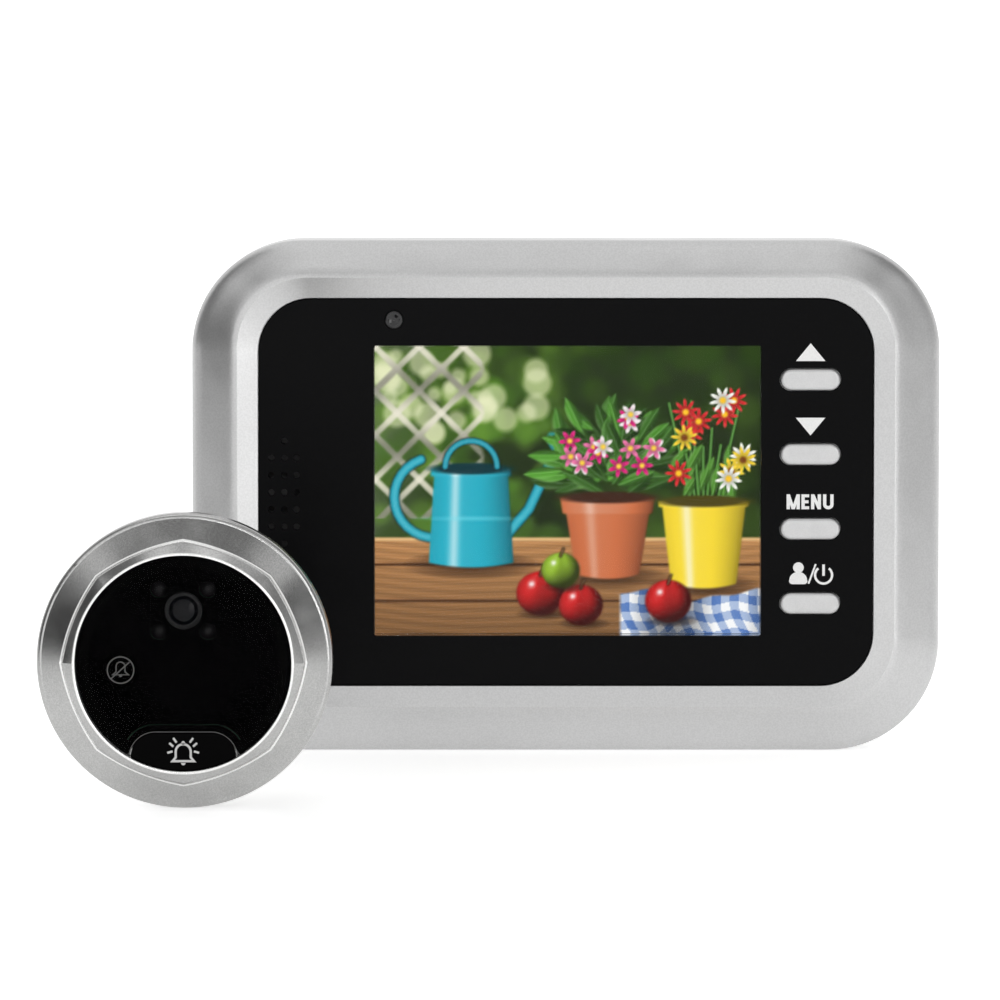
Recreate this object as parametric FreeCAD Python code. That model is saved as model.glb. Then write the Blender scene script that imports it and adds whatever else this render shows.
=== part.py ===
"""Door viewer set: an indoor monitor with four keys and a round outdoor camera and doorbell unit.

Sizes are in millimetres. The front faces -Y, +Z is up and +X is to the right as seen from the front.
The origin is the middle of the monitor's flat base, on the surface that the set stands on.
"""
import FreeCAD, Part
import math
import os

V = FreeCAD.Vector
BACKWARD = V(0, 1, 0)

# Fits and clearances
fit_gap = 0.10
slide_gap = 0.15
key_gap = 0.12
shaft_gap = 0.05

# Screen module, 2.4 inch
screen_w = 48.96
screen_h = 36.72
screen_corner_r = 0.25
lcd_corner_r = 0.3
lcd_margin = 1.6
lcd_ledge = 5.0
lcd_glass_t = 1.4
backlight_t = 1.6
frame_t = 0.4
lens_t = 1.5
lens_flange = 1.2
lens_flange_t = 0.7
lens_flange_r = 0.5
gasket_t = 0.5
gasket_inset = 0.4
tray_r = 0.8
tray_room_r = 0.4

# Face panel, with its four margins round the screen
panel_left = 14.72
panel_right = 14.32
panel_over = 6.09
panel_under = 6.39
panel_r = 6.8
panel_t = 1.5
panel_rise = 0.6
panel_ledge = 1.0
panel_ledge_t = 1.2
panel_break = 0.15

# Front bezel
inner_band = 2.6
inner_fall = 0.9
side_band = 5.9
end_band = 5.3
ridge_r = 9.0
case_r = 14.0
band_depth = 3.6
band_fullness = 2.4
slope_overrun = 1.6
wall_t = 1.8
base_depth = 11.0
weld = 0.5

# Keys
key_w = 7.6
key_h = 2.7
key_inset = 8.0
key_top = 14.3
key_pitch = 9.48
key_proud = 0.6
key_round = 0.4
key_flange_t = 0.6
key_flange_w = 0.5
key_flange_h = 0.75
key_flange_trim = 0.2
key_post_r = 0.8
key_travel = 0.4
switch_size = 4.4
switch_h = 1.5
switch_corner_r = 0.4
switch_cap_r = 0.9
key_names = ["up", "down", "menu", "power"]

# Indicator and speaker
indicator_in = 2.48
indicator_over = 3.39
indicator_r = 1.2
indicator_proud = 0.25
indicator_dimple_r = 0.72
indicator_dimple = 0.16
indicator_neck_r = 0.7
indicator_led_size = 1.6
indicator_led_t = 0.7
indicator_led_r = 0.2
speaker_inset = 1.6
speaker_steps = [0.0, 1.65, 3.2]
speaker_hole_r = 0.42
speaker_row_pitch = 2.18
speaker_w = 10.0
speaker_h = 17.0
speaker_flat = 0.5
speaker_rim = 1.0
speaker_cone_t = 0.4
speaker_foam = 0.9
speaker_foam_r = 1.5

# Main board
board_t = 1.2
board_edge_gap = 2.0
board_notch_gap = 0.6
board_screw_inset = 5.9
board_screw_z = 14.0
board_boss_r = 2.2
board_pilot_r = 0.75
board_head_r = 1.7
board_head_t = 0.9
board_screw_len = 3.4
chip_w = 12.0
chip_h = 6.0
chip_t = 1.2
chip_spread = 9.0
chip_gap = 1.4
chip_corner_r = 0.3

# Battery bay
cell_r = 5.25
cell_len = 43.6
cell_gap = 0.4
nipple_r = 1.9
nipple_len = 0.9
cell_round = 0.4
cell_count = 3
contact_t = 0.4
contact_w = 8.0
bay_play = 0.3
bay_floor = 0.8
bay_end_wall = 1.2
bay_end_gap = 6.0
bay_board_gap = 0.6
spring_len = 4.3
spring_wire = 0.5
spring_turns = 3.5
spring_base_r = 3.2
spring_tip_r = 2.2

# Rear cover and battery door
cover_inset = 1.2
cover_wall = 1.95
cover_back = 1.5
cover_round = 3.0
lip_len = 1.5
lip_gap = 0.15
door_t = 1.4
door_lap = 1.5
door_wrap = 2.4
tongue_t = 0.7
tongue_w = 0.8
tongue_root = 1.0
tongue_len = 40.0
groove_wall = 0.9
grip_count = 5
grip_pitch = 1.6
grip_w = 0.8
grip_deep = 0.35
grip_len = 16.0
grip_inset = 4.0

# Hook slots, case screws and the ribbon pocket of the rear cover
slot_len = 9.0
slot_w = 3.6
slot_spacing_x = 60.0
slot_edge = 2.5
screw_inset_x = 8.4
screw_inset_z = 8.0
screw_boss_r = 2.8
screw_hole_r = 1.25
screw_shank_r = 1.1
screw_pilot_r = 1.15
screw_head_r = 1.9
screw_head_t = 1.4
screw_bite = 7.5
counterbore_r = 2.15
counterbore_floor = 2.0
pocket_w = 19.0
pocket_h = 22.0
pocket_wall = 1.0
pocket_r = 1.0
pocket_floor_lift = 2.4
pocket_door_gap = 3.0
socket_w = 5.0
socket_h = 14.0
socket_t = 6.2
socket_r = 0.5
socket_room_r = 0.3
socket_wall = 0.8
socket_deep = 3.6
socket_pins = 10
socket_pitch = 1.25
pin_size = 0.4

# Place of the outdoor unit
unit_x = -45.45
unit_back_y = -68.0

# Outdoor unit, from its back face forwards
flange_r = 17.4
rim_t = 2.2
rim_round = 0.6
flange_foot_r = 14.6
flange_rise = 1.2
collar_corner_r = 14.53
collar_side_r = 14.07
collar_t = 1.3
collar_slope = 1.0
collar_sides = 8
ring_r = 12.95
ring_t = 0.25
ring_lip = 0.2
cavity_r = 11.8
glass_r = 12.7
glass_t = 1.2
glass_bevel = 0.15
shield_t = 0.6
shield_play = 0.1

# Outdoor unit, inside
back_r = 14.8
back_t = 1.6
stub_r = 6.5
stub_bore_r = 5.5
stub_len = 20.0
throat_r = 4.6
foam_in_r = 8.0
foam_out_r = 16.4
foam_t = 1.5
disc_board_r = 11.5
disc_board_t = 0.8
unit_screw_circle = 13.2
unit_screw_r = 0.75
unit_screw_len = 4.2
unit_head_r = 1.2
unit_head_t = 0.8
unit_screw_count = 3
lens_rise = 6.1
holder_r = 2.5
holder_t = 1.2
barrel_r = 2.13
barrel_bore_r = 1.75
lens_r = 1.7
lens_dome = 0.5
lens_edge = 0.05
led_x = 2.87
led_z = 2.47
led_r = 1.0
led_t = 1.9
led_swell = 1.25
bell_top = 8.2
bell_half_top = 3.35
bell_half_foot = 6.2
bell_bulge = 0.72
bell_fall = 0.32
bell_stem_trim = 0.3
bell_web_t = 0.7
bell_travel = 0.4
bell_lap = 0.8
bell_post_r = 0.9
bell_post_drop = 1.9
bell_switch_size = 3.4
bell_switch_h = 1.0
bell_cap_r = 0.8
unit_socket_w = 6.0
unit_socket_h = 3.0
unit_socket_t = 1.5

# Depths of the monitor, from the front backwards, and its outline
panel_w = panel_left + screen_w + panel_right
panel_h = panel_over + screen_h + panel_under
screen_x = (panel_left - panel_right) / 2
screen_rise = (panel_under - panel_over) / 2
case_w = panel_w + 2 * (inner_band + side_band)
case_h = panel_h + 2 * (inner_band + end_band)
case_z = case_h / 2
wall_start_y = -base_depth / 2
parting_y = wall_start_y + base_depth
ridge_y = wall_start_y - band_depth
panel_y = ridge_y + inner_fall
panel_z = case_z + panel_rise
panel_back_y = panel_y + panel_t
ledge_back_y = panel_back_y + panel_ledge_t
lens_front_y = panel_y
lens_back_y = lens_front_y + lens_t + lens_flange_t
lcd_y = lens_back_y + gasket_t
backlight_y = lcd_y + lcd_glass_t
tray_back_y = backlight_y + backlight_t + frame_t
board_y = tray_back_y
board_back_y = board_y + board_t
bay_floor_y = board_back_y + bay_board_gap
cell_bed_y = bay_floor_y + bay_floor
cell_y = cell_bed_y + slide_gap + cell_r
door_y = cell_y + cell_r + slide_gap
back_y = door_y + door_t
cover_in_y = back_y - cover_back
screen_z = panel_z + screen_rise

# Outline of the display module and the place of the speaker beside it
lcd_w = screen_w + 2 * lcd_margin + lcd_ledge
lcd_h = screen_h + 2 * lcd_margin
lcd_x = screen_x - lcd_ledge / 2
tray_left = lcd_x - lcd_w / 2 - fit_gap - frame_t
speaker_x = tray_left - slide_gap - speaker_w / 2

# Places on the face panel and of the board's screws
key_x = panel_w / 2 - key_inset
indicator_x = screen_x - screen_w / 2 + indicator_in
indicator_z = screen_rise + screen_h / 2 + indicator_over
speaker_columns = [speaker_inset + step - panel_w / 2 for step in speaker_steps]
board_screw_x = case_w / 2 - board_screw_inset

# Outline of the rear cover and the bay inside it
cover_w = case_w - 2 * cover_inset
cover_h = case_h - 2 * cover_inset
cover_r = case_r - cover_inset
case_in_w = case_w - 2 * wall_t
case_in_h = case_h - 2 * wall_t
case_in_r = case_r - wall_t
lip_w = case_in_w - 2 * lip_gap
lip_h = case_in_h - 2 * lip_gap
lip_r = case_in_r - lip_gap
hollow_w = cover_w - 2 * cover_wall
hollow_h = cover_h - 2 * cover_wall
hollow_r = cover_r - cover_wall
cell_pitch = 2 * cell_r + cell_gap
bay_half_h = cell_pitch * (cell_count - 1) / 2 + cell_r + bay_play
bay_len = contact_t + spring_len + cell_len + nipple_len + contact_t
bay_right = hollow_w / 2 - bay_end_gap
bay_left = bay_right - bay_len
door_half_h = bay_half_h + door_lap
bay_wall_half = door_half_h + tongue_w + slide_gap + groove_wall
door_left = bay_left - door_lap
bay_wall_left = door_left - groove_wall
pocket_right = bay_wall_left - pocket_door_gap
pocket_x = pocket_right - pocket_w / 2
pocket_floor_y = board_back_y + pocket_floor_lift
screw_x = case_w / 2 - screw_inset_x
screw_z = case_h / 2 - screw_inset_z
slot_z = cover_h / 2 - cover_round - slot_edge - slot_w / 2

# Levels of the outdoor unit, measured forwards from its back face
unit_z = flange_r
seat_u = rim_t + rim_round + flange_rise + collar_t - ring_t
glass_front_u = seat_u + glass_t
foot_u = rim_t + rim_round + flange_rise
collar_top_u = foot_u + collar_t
ring_u = collar_top_u + collar_slope
disc_board_u = back_t + disc_board_t
bell_seat_u = seat_u + bell_travel + shaft_gap


def rounded(width, height, radius, y, x=0.0, z=0.0):
    """Closed outline with four round corners, upright at depth y and centred on x, z."""
    half_w = width / 2
    half_h = height / 2
    edges = []
    last = None
    first = None
    for number, (side, rise) in enumerate([(1, 1), (-1, 1), (-1, -1), (1, -1)]):
        centre = V(x + side * (half_w - radius), y, z + rise * (half_h - radius))
        points = []
        for step in range(3):
            angle = math.radians(90 * number + 45 * step)
            points.append(centre + V(radius * math.cos(angle), 0, radius * math.sin(angle)))
        if last and (points[0] - last).Length > 1e-6:
            edges.append(Part.LineSegment(last, points[0]).toShape())
        edges.append(Part.Arc(points[0], points[1], points[2]).toShape())
        first = first or points[0]
        last = points[2]
    if (first - last).Length > 1e-6:
        edges.append(Part.LineSegment(last, first).toShape())
    return Part.Wire(edges)


def slab(outline, thickness):
    """Plate of an upright outline, grown backwards."""
    return Part.Face(outline).extrude(V(0, thickness, 0))


def plate(width, height, radius, y, thickness, x=0.0, z=0.0):
    """Upright plate with round corners."""
    return slab(rounded(width, height, radius, y, x, z), thickness)


def block(x_low, x_high, y_low, y_high, z_low, z_high):
    """Plain block between two corners."""
    return Part.makeBox(x_high - x_low, y_high - y_low, z_high - z_low, V(x_low, y_low, z_low))


def rod(x, z, radius, y_low, y_high):
    """Round rod along Y."""
    return Part.makeCylinder(radius, y_high - y_low, V(x, y_low, z), BACKWARD)


def joined(shapes):
    """One solid from shapes that overlap."""
    result = shapes[0]
    if len(shapes) > 1:
        result = shapes[0].multiFuse(shapes[1:])
    return result.removeSplitter()


def group(shapes):
    """Separate solids kept in one node."""
    return Part.makeCompound(shapes)


def save(name, shape):
    """Write one node and print what it holds."""
    if not shape.isValid():
        raise ValueError(name + " is not a valid solid")
    shape.exportStep("parts/" + name + ".step")
    print(name, len(shape.Solids), "solids", round(shape.Volume, 1), "mm3")


def edges_at_depth(shape, y):
    """Edges of a shape that lie wholly in the upright plane at depth y."""
    found = []
    for edge in shape.Edges:
        box = edge.BoundBox
        if abs(box.YMin - y) < 1e-4 and abs(box.YMax - y) < 1e-4:
            found.append(edge)
    return found


def rounded_front(shape, y, radius):
    """The shape with its edges in the plane at depth y rounded."""
    return shape.makeFillet(radius, edges_at_depth(shape, y))


# Monitor: front bezel

def band_outline(share):
    """Outline of the outer band: a parabola runs from the side wall, at 0, to the ridge, at 1."""
    inward = share * share
    rest = 1 - share
    y = ridge_y + band_depth * rest * rest + 2 * band_fullness * share * rest
    width = case_w - 2 * side_band * inward
    height = case_h - 2 * end_band * inward
    radius = case_r - (case_r - ridge_r) * inward
    return rounded(width, height, radius, y, 0, case_z + panel_rise * inward)


def make_front_bezel():
    """Moulded ring with a swelling outer band, a ridge and an inner band that falls to the panel."""
    band = Part.makeLoft([band_outline(step / 4) for step in range(5)], True, False)
    wall = plate(case_w, case_h, case_r, wall_start_y, base_depth, 0, case_z)
    body = band.fuse(wall)
    wide = 2 * inner_band * slope_overrun
    mouth = rounded(
        panel_w + 2 * fit_gap + wide,
        panel_h + 2 * fit_gap + wide,
        panel_r + (ridge_r - panel_r) * slope_overrun,
        panel_y - inner_fall * slope_overrun,
        0,
        panel_z,
    )
    foot = rounded(panel_w + 2 * fit_gap, panel_h + 2 * fit_gap, panel_r, panel_y, 0, panel_z)
    inner_slope = Part.makeLoft([mouth, foot], True, True)
    seat = plate(panel_w + 2 * fit_gap, panel_h + 2 * fit_gap, panel_r, panel_y, panel_t, 0, panel_z)
    opening_w = panel_w - 2 * panel_ledge
    opening_h = panel_h - 2 * panel_ledge
    opening = plate(opening_w, opening_h, panel_r - panel_ledge, panel_y, case_h, 0, panel_z)
    hollow = plate(case_in_w, case_in_h, case_in_r, ledge_back_y, case_h, 0, case_z)
    body = body.cut(inner_slope).cut(seat).cut(opening).cut(hollow)
    bosses = []
    pilots = []
    for x, z in corners(screw_x, screw_z, case_z):
        bosses.append(rod(x, z, screw_boss_r, ledge_back_y - weld, screw_seat_y() - fit_gap))
        pilots.append(rod(x, z, screw_pilot_r, screw_tip_y() - fit_gap, parting_y + base_depth))
    for x, z in corners(board_screw_x, board_screw_z, case_z):
        bosses.append(rod(x, z, board_boss_r, ledge_back_y - weld, board_y))
        pilots.append(rod(x, z, board_pilot_r, board_back_y - board_screw_len, board_y + board_t))
    body = joined([body] + bosses)
    for pilot in pilots:
        body = body.cut(pilot)
    return body


def corners(half_x, half_z, z):
    """The four places at plus and minus a half spacing about a height."""
    return [(half_x, z + half_z), (-half_x, z + half_z), (-half_x, z - half_z), (half_x, z - half_z)]


def screw_seat_y():
    """Depth of the plane where the rear cover's tubes meet the bezel's bosses."""
    return parting_y - lip_len


def screw_head_y():
    """Depth of the seat under a case screw's head."""
    return screw_seat_y() + counterbore_floor


def screw_tip_y():
    """Depth of a case screw's tip."""
    return screw_seat_y() - screw_bite


def key_places():
    """Heights of the four keys, from the top down."""
    return [panel_z + key_top - key_pitch * number for number in range(len(key_names))]


def speaker_holes():
    """Places of the speaker holes: three columns of five, with one more above and below the middle."""
    places = []
    for column, x in enumerate(speaker_columns):
        rows = 3 if column == 1 else 2
        for row in range(-rows, rows + 1):
            places.append((x, panel_z + row * speaker_row_pitch))
    return places


def make_face_panel():
    """Black panel with a window, key slots, speaker holes and the indicator's hole."""
    panel = plate(panel_w, panel_h, panel_r - fit_gap, panel_y, panel_t, 0, panel_z)
    panel = panel.makeChamfer(panel_break, edges_at_depth(panel, panel_y))
    through = 2 * panel_t
    start = panel_y - panel_t / 2
    gap = 2 * fit_gap
    hole_r = screen_corner_r + fit_gap
    cuts = [plate(screen_w + gap, screen_h + gap, hole_r, start, through, screen_x, screen_z)]
    for z in key_places():
        slot_r = key_h / 2 + key_gap
        cuts.append(plate(key_w + 2 * key_gap, 2 * slot_r, slot_r, start, through, key_x, z))
    for x, z in speaker_holes():
        cuts.append(rod(x, z, speaker_hole_r, start, start + through))
    cuts.append(rod(indicator_x, panel_z + indicator_z, indicator_r, start, start + through))
    return panel.cut(cuts)


# Monitor: screen

def make_window_lens():
    """Clear window that fills the panel's opening, with a flange behind the panel."""
    boss = plate(screen_w, screen_h, screen_corner_r, lens_front_y, lens_t, screen_x, screen_z)
    y = lens_front_y + lens_t
    wide = 2 * lens_flange
    flange = plate(
        screen_w + wide, screen_h + wide, lens_flange_r, y, lens_flange_t, screen_x, screen_z
    )
    return joined([boss, flange])


def make_screen_gasket():
    """Foam frame between the window's flange and the LCD glass."""
    wide = 2 * lens_flange
    outer = plate(
        screen_w + wide, screen_h + wide, lens_flange_r, lens_back_y, gasket_t, screen_x, screen_z
    )
    clear = 2 * gasket_inset
    inner = plate(
        screen_w + clear, screen_h + clear, screen_corner_r, lens_back_y, gasket_t, screen_x, screen_z
    )
    return outer.cut(inner)


def make_lcd_glass():
    """Two-layer display glass with its connection ledge on the left."""
    half_t = lcd_glass_t / 2
    rear = plate(lcd_w, lcd_h, lcd_corner_r, lcd_y + half_t, half_t, lcd_x, screen_z)
    front = plate(lcd_w - lcd_ledge, lcd_h, lcd_corner_r, lcd_y, half_t, screen_x, screen_z)
    return joined([front, rear])


def make_backlight_plate():
    """Light guide behind the display glass."""
    return plate(lcd_w, lcd_h, lcd_corner_r, backlight_y, backlight_t, lcd_x, screen_z)


def make_lcd_frame():
    """Folded sheet tray that holds the display glass and its light guide against the board."""
    margin = 2 * (fit_gap + frame_t)
    depth = tray_back_y - lcd_y
    tray = plate(lcd_w + margin, lcd_h + margin, tray_r, lcd_y, depth, lcd_x, screen_z)
    room_w = lcd_w + 2 * fit_gap
    room_h = lcd_h + 2 * fit_gap
    room = plate(room_w, room_h, tray_room_r, lcd_y, depth - frame_t, lcd_x, screen_z)
    relief = rod(lcd_x, screen_z, lcd_h / 5, lcd_y, tray_back_y + frame_t)
    return tray.cut(room).cut(relief)


# Monitor: keys, indicator and speaker

def make_key(z):
    """Key cap with a rounded front, a flange behind the panel and a post to its switch."""
    cap = plate(key_w, key_h, key_h / 2, panel_y - key_proud, key_proud + panel_t + fit_gap, key_x, z)
    cap = rounded_front(cap, panel_y - key_proud, key_round)
    flange_y = panel_back_y + fit_gap
    flange_w = key_w + 2 * key_flange_w
    flange_h = key_h + 2 * key_flange_h
    flange_round = flange_h / 2 - key_flange_trim
    flange = plate(flange_w, flange_h, flange_round, flange_y, key_flange_t, key_x, z)
    post = rod(key_x, z, key_post_r, flange_y + key_flange_t / 2, switch_face_y() - key_travel)
    return joined([cap, flange, post])


def switch_face_y():
    """Depth of a key switch's front face."""
    return board_y - switch_h


def make_plunger(z):
    """Small cap of a key switch, pushed back by the key's post."""
    front = switch_face_y() - key_travel
    return rod(key_x, z, switch_cap_r, front, switch_face_y() + key_travel)


def make_key_switches():
    """Four switch bodies on the board, each with a well for its cap."""
    bodies = []
    for z in key_places():
        body = plate(
            switch_size, switch_size, switch_corner_r, switch_face_y(), switch_h, key_x, z
        )
        well_end = switch_face_y() + 2 * key_travel + fit_gap
        bodies.append(body.cut(rod(key_x, z, switch_cap_r + shaft_gap, switch_face_y(), well_end)))
    return group(bodies)


def make_indicator_lens():
    """Round light pipe with a dimple in its face, from the panel back to the board's lamp."""
    z = panel_z + indicator_z
    head_back = panel_y + panel_t
    head = rod(indicator_x, z, indicator_r - fit_gap / 2, panel_y - indicator_proud, head_back)
    head = head.makeFillet(indicator_proud, edges_at_depth(head, panel_y - indicator_proud))
    ball_r = (indicator_dimple_r ** 2 + indicator_dimple ** 2) / (2 * indicator_dimple)
    ball_y = panel_y - indicator_proud + indicator_dimple - ball_r
    head = head.cut(Part.makeSphere(ball_r, V(indicator_x, ball_y, z)))
    neck = rod(indicator_x, z, indicator_neck_r, head_back - weld, board_y - indicator_led_t)
    return joined([head, neck])


def make_indicator_led():
    """Surface lamp on the board under the light pipe."""
    z = panel_z + indicator_z
    led_y = board_y - indicator_led_t
    size = indicator_led_size
    return plate(size, size, indicator_led_r, led_y, indicator_led_t, indicator_x, z)


def speaker_outline(margin, y):
    """Rounded outline of the speaker, drawn in by a margin."""
    width = speaker_w - 2 * margin
    height = speaker_h - 2 * margin
    return rounded(width, height, width / 2 - speaker_flat, y, speaker_x, panel_z)


def make_speaker_frame():
    """Basket of the speaker with an open front for its cone."""
    body = slab(speaker_outline(0, ledge_back_y), board_y - ledge_back_y)
    return body.cut(slab(speaker_outline(speaker_rim, ledge_back_y), speaker_rim))


def make_speaker_cone():
    """Thin dished diaphragm that closes the basket's front."""
    seat = slab(speaker_outline(speaker_rim + shaft_gap, ledge_back_y + speaker_rim / 2), speaker_cone_t)
    dome_y = ledge_back_y + speaker_rim / 2 - speaker_cone_t
    dome = Part.makeCone(
        speaker_w / 5, speaker_w / 3.6, speaker_cone_t, V(speaker_x, dome_y, panel_z), BACKWARD
    )
    return joined([seat, dome])


def make_speaker_gasket():
    """Foam strip on three sides of the speaker holes; the bezel's ledge closes the fourth."""
    left = -(panel_w / 2 - panel_ledge) + fit_gap
    right = speaker_x + speaker_w / 2
    width = right - left
    x = (left + right) / 2
    outer = plate(width, speaker_h, speaker_foam_r, panel_back_y, panel_ledge_t, x, panel_z)
    room_right = max(speaker_columns) + speaker_hole_r + speaker_foam / 4
    room = block(
        left - speaker_foam, room_right, panel_back_y - panel_t, ledge_back_y + panel_t,
        panel_z - speaker_h / 2 + speaker_foam, panel_z + speaker_h / 2 - speaker_foam,
    )
    return outer.cut(room)


# Monitor: boards

def make_main_board():
    """Main circuit board, notched round the case bosses and drilled for its own screws."""
    width = case_in_w - 2 * board_edge_gap
    height = case_in_h - 2 * board_edge_gap
    board = plate(width, height, case_in_r - board_edge_gap, board_y, board_t, 0, case_z)
    for x, z in corners(screw_x, screw_z, case_z):
        board = board.cut(rod(x, z, screw_boss_r + board_notch_gap, board_y, board_back_y))
    for x, z in corners(board_screw_x, board_screw_z, case_z):
        board = board.cut(rod(x, z, board_pilot_r + fit_gap, board_y, board_back_y))
    return board


def make_board_screws():
    """Pan-head screws that hold the board to the bezel's bosses."""
    screws = []
    for x, z in corners(board_screw_x, board_screw_z, case_z):
        head = rod(x, z, board_head_r, board_back_y, board_back_y + board_head_t)
        head = head.makeFillet(board_head_t / 3, edges_at_depth(head, board_back_y + board_head_t))
        tip = board_back_y - board_screw_len + fit_gap
        shank = rod(x, z, board_pilot_r - shaft_gap, tip, board_back_y + board_head_t / 2)
        screws.append(joined([head, shank]))
    return group(screws)


def make_board_chips():
    """Processor, memory and power chips on the back of the board, clear of the battery bay."""
    offset = bay_wall_half + chip_gap + chip_h / 2
    chips = []
    for side, rise, scale in [(-1, 1, 1.0), (1, 1, 0.75), (-1, -1, 0.85), (1, -1, 0.6)]:
        x = side * chip_spread
        z = case_z + rise * offset
        width = chip_w * scale
        height = chip_h * scale
        chips.append(plate(width, height, chip_corner_r, board_back_y, chip_t, x, z))
    return group(chips)


def make_ribbon_socket():
    """Socket for the flat ribbon from the outdoor unit, with its row of pins."""
    front = board_back_y
    body = plate(socket_w, socket_h, socket_r, front, socket_t, pocket_x, case_z)
    room_w = socket_w - 2 * socket_wall
    room_h = socket_h - 2 * socket_wall
    mouth_y = front + socket_t - socket_deep
    room = plate(room_w, room_h, socket_room_r, mouth_y, 2 * socket_deep, pocket_x, case_z)
    body = body.cut(room)
    key_h_half = socket_h / 8
    key = block(
        pocket_x, pocket_x + socket_w, mouth_y + socket_deep / 2, front + 2 * socket_t,
        case_z - key_h_half, case_z + key_h_half,
    )
    body = body.cut(key)
    pins = []
    for number in range(socket_pins):
        z = case_z + socket_pitch * (number - (socket_pins - 1) / 2)
        half = pin_size / 2
        tip_y = front + socket_t - socket_wall
        root_y = mouth_y - weld
        pins.append(block(pocket_x - half, pocket_x + half, root_y, tip_y, z - half, z + half))
    return joined([body] + pins)


# Monitor: rear cover, door and battery bay

def cover_body():
    """Outer form of the rear cover, with its rear edge rounded."""
    depth = back_y - parting_y
    body = plate(cover_w, cover_h, cover_r, parting_y, depth, 0, case_z)
    return body.makeFillet(cover_round, edges_at_depth(body, back_y))


def door_space(gap):
    """Space of the door's plate and of its end that wraps over the cover's edge, grown by a gap."""
    far = cover_w
    low = case_z - door_half_h - gap
    high = case_z + door_half_h + gap
    flat = block(door_left - gap, far, door_y - gap, back_y + far, low, high)
    wrap = block(
        cover_w / 2 - cover_wall + fit_gap - gap, far, door_y - door_wrap - gap, back_y + far, low, high
    )
    return flat.fuse(wrap)


def tongue_space(gap, x_low, x_high):
    """Space of the two tongues along the door's long edges, grown by a gap."""
    tongues = []
    for side in (-1, 1):
        inner = case_z + side * (door_half_h - tongue_root)
        outer = case_z + side * (door_half_h + tongue_w + gap)
        low = min(inner, outer)
        high = max(inner, outer)
        tongues.append(block(x_low, x_high, door_y - gap, door_y + tongue_t + gap, low, high))
    return tongues


def make_rear_cover():
    """Rear shell with the battery bay, the ribbon pocket, hook slots and screw tubes."""
    shell = cover_body()
    lip = plate(lip_w, lip_h, lip_r, parting_y - lip_len, lip_len, 0, case_z)
    hollow = plate(hollow_w, hollow_h, hollow_r, parting_y - lip_len, cover_in_y - parting_y + lip_len, 0, case_z)
    shell = shell.fuse(lip).cut(hollow)
    bay = block(
        bay_wall_left, bay_right + bay_end_wall, bay_floor_y, cover_in_y + cover_back / 2,
        case_z - bay_wall_half, case_z + bay_wall_half,
    )
    door_rest = block(
        bay_right, hollow_w / 2 + cover_wall / 2, parting_y, cover_in_y + cover_back / 2,
        case_z - bay_wall_half, case_z + bay_wall_half,
    )
    pocket = plate(
        pocket_w + 2 * pocket_wall, pocket_h + 2 * pocket_wall, pocket_r + pocket_wall / 2,
        pocket_floor_y - pocket_wall, cover_in_y - pocket_floor_y + pocket_wall + cover_back / 2,
        pocket_x, case_z,
    )
    tubes = []
    for x, z in corners(screw_x, screw_z, case_z):
        tubes.append(rod(x, z, screw_boss_r, screw_seat_y(), cover_in_y + cover_back / 2))
    shell = joined([shell, bay, door_rest, pocket] + tubes)
    room = block(
        bay_left, bay_right, cell_bed_y, back_y + cover_back,
        case_z - bay_half_h, case_z + bay_half_h,
    )
    shell = shell.cut(room).cut(door_space(slide_gap))
    for groove in tongue_space(slide_gap, door_left - slide_gap, cover_w):
        shell = shell.cut(groove)
    inside = plate(pocket_w, pocket_h, pocket_r, pocket_floor_y, back_y, pocket_x, case_z)
    gap = 4 * fit_gap
    window_y = pocket_floor_y - 2 * pocket_wall
    window = plate(
        socket_w + gap, socket_h + gap, socket_r, window_y, 4 * pocket_wall, pocket_x, case_z
    )
    shell = shell.cut(inside).cut(window)
    for x, z in corners(screw_x, screw_z, case_z):
        shell = shell.cut(rod(x, z, screw_hole_r, screw_seat_y() - lip_len, back_y))
        shell = shell.cut(rod(x, z, counterbore_r, screw_head_y(), back_y + cover_back))
    for x, z in corners(slot_spacing_x / 2, slot_z, case_z):
        slot_y = cover_in_y - cover_back
        shell = shell.cut(plate(slot_len, slot_w, slot_w / 2, slot_y, 3 * cover_back, x, z))
    return shell


def make_battery_door():
    """Slide-off door that follows the cover's rounded edge, with tongues and finger grooves."""
    door = cover_body().common(door_space(0))
    tongue_x = cover_w / 2 - cover_round - tongue_len
    tongues = tongue_space(0, tongue_x, tongue_x + tongue_len)
    door = joined([door] + tongues)
    for number in range(grip_count):
        x = door_left + grip_inset + number * grip_pitch
        deep_y = back_y - grip_deep
        groove = plate(grip_w, grip_len, grip_w / 2, deep_y, grip_deep * 2, x, case_z)
        door = door.cut(groove)
    return door


def cell_heights():
    """Heights of the cells in the bay, from the bottom up."""
    return [case_z + cell_pitch * (number - (cell_count - 1) / 2) for number in range(cell_count)]


def cell_side(number):
    """Which way a cell's positive end points: every second cell is turned round."""
    return 1 if number % 2 == 0 else -1


def make_batteries():
    """Three cells side by side, each with its nipple towards its positive contact."""
    cells = []
    for number, z in enumerate(cell_heights()):
        side = cell_side(number)
        positive_x = bay_right - contact_t if side == 1 else bay_left + contact_t
        body_x = positive_x - side * nipple_len
        start = V(body_x, cell_y, z)
        body = Part.makeCylinder(cell_r, cell_len, start, V(-side, 0, 0))
        tip = V(positive_x, cell_y, z)
        nipple = Part.makeCylinder(nipple_r, nipple_len + weld, tip, V(-side, 0, 0))
        body = body.makeFillet(cell_round, [edge for edge in body.Edges if edge.Closed])
        cells.append(joined([body, nipple]))
    return group(cells)


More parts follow.
